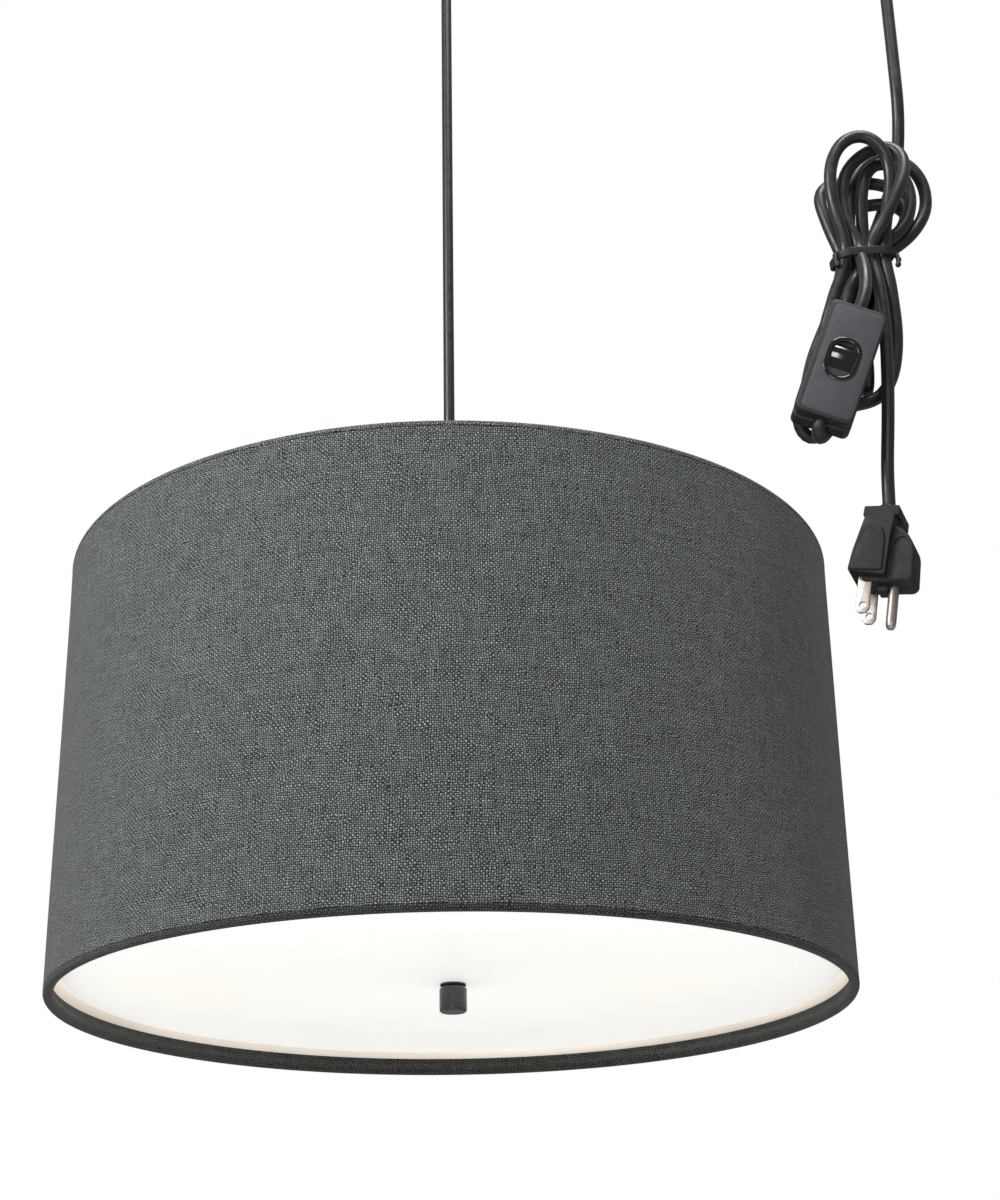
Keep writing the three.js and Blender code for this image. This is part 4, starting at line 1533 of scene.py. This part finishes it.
    def add_strap(self) -> None:
        """Builds the strap that ties the hank, with its two turned-down ends."""
        middle_x, middle_y = 202.0, -180.1
        outline = rounded_box(self.strap_width, self.strap_depth, 6.0, 8)
        path = np.array([
            (middle_x + x, middle_y + y,
             self.tie_height + self.strap_tilt * y + 1.5 * math.cos(x / 9.0) - 1.2 + 0.06 * x)
            for x, y in outline
        ])
        section = eased([(-0.55, -2.0), (0.55, -2.0), (0.55, 2.0), (-0.55, 2.0)], 0.4)
        strap = sweep("Hank_strap", path, section, LAMP_SPACE, ring=True)
        self.fit(strap, STRAP, "cord", Body.CEILING, "cord_tie")
        for name, side in (("left", -1), ("right", 1)):
            x = middle_x + 13.2 * side
            ends = smooth_path([(x, -186, 326.5), (x + 1.6 * side, -188.5, 324),
                                (x + 2.1 * side, -190, 320.5), (x + 1.2 * side, -191, 316.5)], 1.0)
            twist = [1.0 + 0.22 * math.sin(k * 1.9) for k in range(len(ends))]
            tail = sweep(f"Strap_end_{name}", ends, circle(1.25, 10), LAMP_SPACE, swell=twist)
            self.fit(tail, STRAP, "cord", Body.CEILING)

    def declare(self, going: Sequence[Piece]) -> None:
        """Takes the pieces on the cord and does nothing with them.

        Args:
            going: The pieces on the cord. Not used.
        """


@dataclass
class LineSwitch(SubAssembly):
    """The in-line rocker switch: Z along the cord, the cover towards -Y."""

    length: float = 2 * SWITCH_HALF_LENGTH
    width: float = 28.0
    base_depth: float = 8.5
    cover_depth: float = 8.0
    gap: float = 0.3
    wall: float = 1.8
    well_wall: float = 2.6
    cord_hole: float = 3.35
    face_inset: float = 0.9
    pivot_depth: float = 5.0
    rest_lean: float = 8.0
    rocker_half_width: float = 6.0
    rocker_side: tuple[Flat, ...] = (
        (1.2, -9.2), (-3.2, -9.2), (-4.7, -7.9), (-4.6, -4.0), (-4.0, 0.0), (-4.6, 3.2),
        (-4.6, 4.8), (-4.1, 6.2), (-3.3, 7.6), (-2.3, 8.8), (-1.5, 9.2), (1.2, 9.2), (3.4, 0.0),
    )

    def space(self) -> Matrix:
        """Gives the switch's own frame."""
        return leaning_space(SWITCH_X, SWITCH_BACK_Y, SWITCH_HEIGHT, SWITCH_LEAN)

    def outline(self, wall: float, corner: float) -> list[Flat]:
        """Gives the switch's rectangle, drawn in by a wall on every side."""
        return rounded_box(self.width - 2 * wall, self.length - 2 * wall, corner)

    def bore(self) -> Piece:
        """Makes the tool for the cord holes at both ends."""
        along = self.space() @ Matrix.Translation((0.0, -self.base_depth - self.gap / 2, 0.0))
        return revolve("bore", plug_line(self.cord_hole, -40.0, 40.0), along, 32)

    def build(self) -> None:
        """Builds both shells and the rocker, and dresses the inner pieces."""
        space = self.space()
        rim = -self.base_depth
        face = rim - self.gap - self.cover_depth
        base = slab("Switch_base", self.outline(0.0, 3.0), rim, 0.0, space, 0.9)
        hollow = slab("hollow", self.outline(self.wall, 2.0), rim - 1, -self.wall, space)
        base = combine(base, [hollow, self.bore()], "DIFFERENCE")
        self.fit(base, SHELL_BACK, "switch", Body.CEILING, "switch_base")
        well_line = self.outline(self.well_wall, 2.0)
        well_floor = face + self.wall
        collar = slab("Switch_collar", self.outline(0.2, 3.6), face + 1.1, rim - self.gap, space, 0.9)
        inside = slab("inside", well_line, well_floor, rim + 1, space)
        inset = [(x + self.face_inset, z - self.face_inset) for x, z in self.outline(self.wall, 3.4)]
        plate = slab("Switch_face", inset, face, face + 5.0, space, 0.8)
        collar = combine(collar, [inside, self.bore()], "DIFFERENCE")
        self.fit(collar, SHELL_BACK, "switch", Body.CEILING)
        window = slab("window", rounded_box(13.5, 21.0, 6.7), face - 3, rim, space)
        well = slab("well", well_line, well_floor, face + 9, space)
        plate = combine(plate, [well, window], "DIFFERENCE")
        self.fit(plate, SHELL, "switch", Body.CEILING, "switch_cover")
        self.add_bezel(face)
        self.add_rocker(face)
        self.dress(STEEL, "switch_screw_1", "switch_screw_2", "switch_pivot")
        self.dress(BRASS, "switch_contact_fixed", "switch_contact_spring")

    def add_bezel(self, face: float) -> None:
        """Builds the glossy ring that lines the rocker's window."""
        outline = rounded_box(14.0, 21.4, 6.9, 10)
        path = np.array([(x, face + 0.1, z) for x, z in outline])
        section = eased([(-1.0, -0.55), (1.0, -0.55), (1.0, 0.9), (-1.0, 0.9)], 0.5)
        ring = sweep("Rocker_bezel", path, section, self.space(), ring=True)
        self.fit(ring, GLOSS, "switch", Body.CEILING)

    def add_rocker(self, face: float) -> None:
        """Builds the glossy see-saw rocker at its rest lean."""
        pivot = Matrix.Translation((0.0, face + self.pivot_depth, 0.0))
        own = self.space() @ pivot @ Matrix.Rotation(math.radians(self.rest_lean), 4, "X")
        profile = eased(self.rocker_side, 0.8)
        count = len(profile)
        points = [(side * self.rocker_half_width, y, z) for side in (-1, 1) for y, z in profile]
        faces = [list(range(count)), list(range(count, 2 * count))]
        faces += [[k, (k + 1) % count, count + (k + 1) % count, count + k] for k in range(count)]
        seesaw = make_piece("Rocker", points, faces, own)
        trim = slab("trim", rounded_box(11.0, 18.4, 5.4, 10), -10.0, 10.0, own)
        rocker = combine(seesaw, [trim], "INTERSECT")
        rounded_edges(rocker, 0.9, 4, 50.0)
        self.fit(rocker, GLOSS, "rocker", Body.ROCKER, "switch_rocker")


@dataclass
class MainsPlug(SubAssembly):
    """The moulded plug: cord at the top, blades down along -Z."""

    blade_spacing: float = 12.7
    blade_width: float = 6.35
    blade_thickness: float = 1.5
    blade_hole: float = 1.6
    blade_hole_height: float = -53.0
    pin_offset: float = 11.9
    half_block: float = 11.8
    half_lobe: float = 8.0
    grip_thickness: float = 2.4
    collar_line: tuple[Flat, ...] = (
        (0.0, 0.0), (3.9, 0.0), (6.0, -4.0), (8.0, -8.0), (8.0, -14.0), (0.0, -14.0),
    )
    band_line: tuple[Flat, ...] = ((-8.6, -4.6), (7.6, -4.6), (7.6, -9.4), (-9.0, -9.4))
    block_line: tuple[Flat, ...] = (
        (-7.2, -9.0), (6.3, -9.0), (4.8, -22.0), (4.0, -40.0), (-13.5, -38.0), (-12.0, -28.0),
        (-8.7, -15.0),
    )
    lobe_line: tuple[Flat, ...] = (
        (-8.0, -12.0), (6.0, -13.0), (11.5, -17.0), (15.5, -24.0), (16.0, -40.0), (14.0, -42.0),
        (-8.0, -42.0),
    )
    grip_line: tuple[Flat, ...] = (
        (-13.0, -37.9), (2.9, -38.4), (2.9, -22.0), (1.2, -16.4), (-2.4, -14.2), (-6.2, -16.4),
        (-9.6, -24.0),
    )
    pin_line: tuple[Flat, ...] = (
        (0.0, -61.6), (0.7, -61.7), (0.95, -62.4), (1.5, -62.2), (2.1, -61.2), (2.4, -59.3),
        (2.4, -33.3), (0.0, -33.3),
    )

    def space(self) -> Matrix:
        """Gives the plug's own frame."""
        return leaning_space(203.2, -180.0, 194.0, 10.0, -24.0)

    def build(self) -> None:
        """Builds the body and its three metal contacts."""
        self.add_body()
        self.add_metal()

    def add_body(self) -> None:
        """Builds the moulded body from its collar, block, lobe and grips."""
        space = self.space()
        line = eased(self.collar_line, 1.2, closed=False)
        collar = revolve("Plug_body", line, space, 48)
        band = slab("band", eased(self.band_line, 0.6), -10.0, 10.0, space, 0.9)
        reach = self.half_block
        block = slab("block", eased(self.block_line, 1.6), -reach, reach, space, 1.1)
        reach = self.half_lobe
        lobe = slab("lobe", eased(self.lobe_line, 3.0, steps=6), -reach, reach, space, 1.5)
        arch = eased(self.grip_line, 2.2, steps=4)
        grips = [
            slab("grip", arch, low, low + self.grip_thickness, space, 1.0) for low in (-13.0, 10.6)
        ]
        foot = space @ Matrix.Translation((1.6, 0.0, -42.5))
        key = slab("key", rounded_box(5.0, 5.0, 0.8), -4.0, 4.0, foot, 0.6)
        body = combine(collar, [band, block, lobe, key, *grips], "UNION")
        oval = [(9.6 + 4.9 * u, -28.0 + 8.4 * v) for u, v in circle(1.0, 40)]
        dishes = [slab("dish", oval, low, low + 1.1, space) for low in (-8.6, 7.5)]
        slot = [(x - self.pin_offset / 2, z) for x, z in rounded_box(7.0, 12.0, 0.4, 2)]
        root = space @ Matrix.Translation((0, 0, -38.5))
        pockets = [
            slab("pocket", slot, y - 1.05, y + 1.05, root)
            for y in (-self.blade_spacing / 2, self.blade_spacing / 2)
        ]
        pin_root = space @ Matrix.Translation((self.pin_offset / 2, 0, 0))
        pocket = revolve("pocket", plug_line(2.7, -50.0, -33.0), pin_root, 28)
        body = combine(body, [*dishes, *pockets, pocket], "DIFFERENCE")
        self.fit(body, PLUG, "plug", Body.CEILING, "plug_body")

    def add_metal(self) -> None:
        """Builds the two drilled blades and the hollow-tipped ground pin."""
        space = self.space()
        half, thick, middle = self.blade_width / 2, self.blade_thickness / 2, self.pin_offset / 2
        blade = [
            (-half, -33.0), (half, -33.0), (half, -54.6), (half - 1.5, -57.0),
            (-half + 1.5, -57.0), (-half, -54.6),
        ]
        outline = [(x - middle, z) for x, z in eased(blade, 0.9)]
        hole, level = self.blade_hole, self.blade_hole_height
        round_hole = [(hole * u - middle, level + hole * v) for u, v in circle(1.0, 28)]
        for name, side in (("line", -1), ("neutral", 1)):
            y = side * self.blade_spacing / 2
            made = slab(f"Plug_blade_{name}", outline, y - thick, y + thick, space, 0.3)
            drill = slab("drill", round_hole, y - 3, y + 3, space)
            made = combine(made, [drill], "DIFFERENCE")
            self.fit(made, NICKEL, "nickel", Body.CEILING, f"plug_blade_{name}")
        pin_space = space @ Matrix.Translation((middle, 0, 0))
        pin = revolve("Plug_ground_pin", eased(self.pin_line, 0.3, closed=False), pin_space, 40)
        self.fit(pin, NICKEL, "nickel", Body.CEILING, "plug_ground_pin")


# Studio -------------------------------------------------------------------------------------------


@dataclass(frozen=True)
class Lamp:
    """One soft studio light."""

    name: str
    place: Point
    power: float
    size: float
    colour: Point = (1.0, 1.0, 1.0)


@dataclass
class Studio:
    """The camera below the lamp, a plain pale floor and soft light from the upper left."""

    station: Point = (0.0, -1.024, -0.9936)
    lens: float = 60.72
    sensor: float = 36.0
    nearest: float = 0.02
    yaw: float = -1.52
    pitch: float = 22.63
    roll: float = -0.98
    floor_z: float = -1.45
    floor_reach: float = 4000.0
    floor_cells: int = 8
    aim: Point = (0.03, 0.0, -0.66)
    ambient: float = 0.2
    lights: tuple[Lamp, ...] = (
        Lamp("Key", (-0.85, -0.85, 0.0), 16.0, 0.6),
        Lamp("Front", (-0.25, -2.1, -0.7), 9.0, 0.5),
        Lamp("Fill", (1.5, -1.9, -0.9), 1.5, 1.6),
        Lamp("Top", (0.3, -0.75, 1.0), 22.0, 0.7),
    )

    def camera_matrix(self) -> Matrix:
        """Gives the camera's place and direction.

        Returns:
            The camera's matrix in the row frame.
        """
        yaw, pitch, roll = (math.radians(a) for a in (self.yaw, self.pitch, self.roll))
        level = math.cos(pitch)
        ahead = Vector((-math.sin(yaw) * level, math.cos(yaw) * level, math.sin(pitch)))
        right = Vector((math.cos(yaw), math.sin(yaw), 0.0))
        up = right.cross(ahead)
        turned_right = right * math.cos(roll) + up * math.sin(roll)
        turned_up = up * math.cos(roll) - right * math.sin(roll)
        axes = Matrix((turned_right, turned_up, -ahead)).transposed().to_4x4()
        return Matrix.Translation(self.station) @ axes

    def build(self) -> None:
        """Sets up the camera, the floor, the lights and the surroundings."""
        scene = bpy.context.scene
        scene.view_settings.view_transform = "Standard"
        camera = bpy.data.objects.new("Camera", bpy.data.cameras.new("Camera"))
        camera.data.lens = self.lens
        camera.data.sensor_width = self.sensor
        camera.data.clip_start = self.nearest
        scene.collection.objects.link(camera)
        camera.matrix_world = self.camera_matrix()
        scene.camera = camera
        for light in self.lights:
            made = bpy.data.objects.new(light.name, bpy.data.lights.new(light.name, "AREA"))
            made.data.energy = light.power
            made.data.size = light.size
            made.data.color = light.colour
            made.location = light.place
            towards = Vector(self.aim) - Vector(light.place)
            made.rotation_euler = towards.to_track_quat("-Z", "Y").to_euler()
            scene.collection.objects.link(made)
        self.add_floor()
        self.add_surroundings()

    def add_floor(self) -> None:
        """Builds the plain pale floor."""
        reach, cells = self.floor_reach, self.floor_cells
        ticks = [reach * (2 * k / cells - 1) for k in range(cells + 1)]
        points = [(x, y, self.floor_z / MM) for y in ticks for x in ticks]
        row = cells + 1
        faces = [[j * row + i, j * row + i + 1, (j + 1) * row + i + 1, (j + 1) * row + i]
                 for j in range(cells) for i in range(cells)]
        floor = make_piece("Studio_floor", points, faces, WORLD_SPACE)
        floor.data.materials.append(FLOOR_PAINT.material())

    def add_surroundings(self) -> None:
        """Lights the studio evenly and shows plain white behind the lamp."""
        world = bpy.data.worlds.new("Studio")
        world.use_nodes = True
        w = Wiring(world.node_tree)
        world.node_tree.nodes.clear()
        seen = w.node("ShaderNodeLightPath").outputs["Is Camera Ray"]
        background = w.node("ShaderNodeBackground")
        background.inputs["Color"].default_value = (1.0, 1.0, 1.0, 1.0)
        w.put(background.inputs["Strength"], w.spread(seen, 0.0, 1.0, self.ambient, 1.0))
        w.put(w.node("ShaderNodeOutputWorld").inputs["Surface"], background.outputs[0])
        bpy.context.scene.world = world


def main() -> None:
    """Builds the camera, the cord and every sub-assembly, and logs each group's pieces."""
    logging.basicConfig(level=logging.INFO, format="%(message)s")
    Studio().build()
    cord = LampCord()
    switch = LineSwitch()
    plug = MainsPlug()
    stack = HangingStack()
    groups: list[SubAssembly] = [
        cord, switch, plug, stack, DrumShade(), Diffuser(),
        LampHolder(number=1, turn=0.0, bulb_body=Body.BULB_1),
        LampHolder(number=2, turn=180.0, bulb_body=Body.BULB_2),
        CeilingHook(number=1), CeilingHook(number=2, along=SPAN - HOOK_SETBACK),
    ]
    for group in groups:
        group.build()
        group.report()
    inside = (
        "switch_pivot", "switch_screw_1", "switch_screw_2", "switch_contact_fixed",
        "switch_contact_spring",
    )
    inner = [frame["nodes"][name] for name in inside]
    on_cord = [p for g in (switch, plug) for p in g.pieces.values()]
    on_cord += [p for name, p in cord.pieces.items() if name != "Lamp_cord"]
    cord.declare([*on_cord, stack.pieces["Cord_grip"], *inner])


if __name__ == "__main__":
    main()
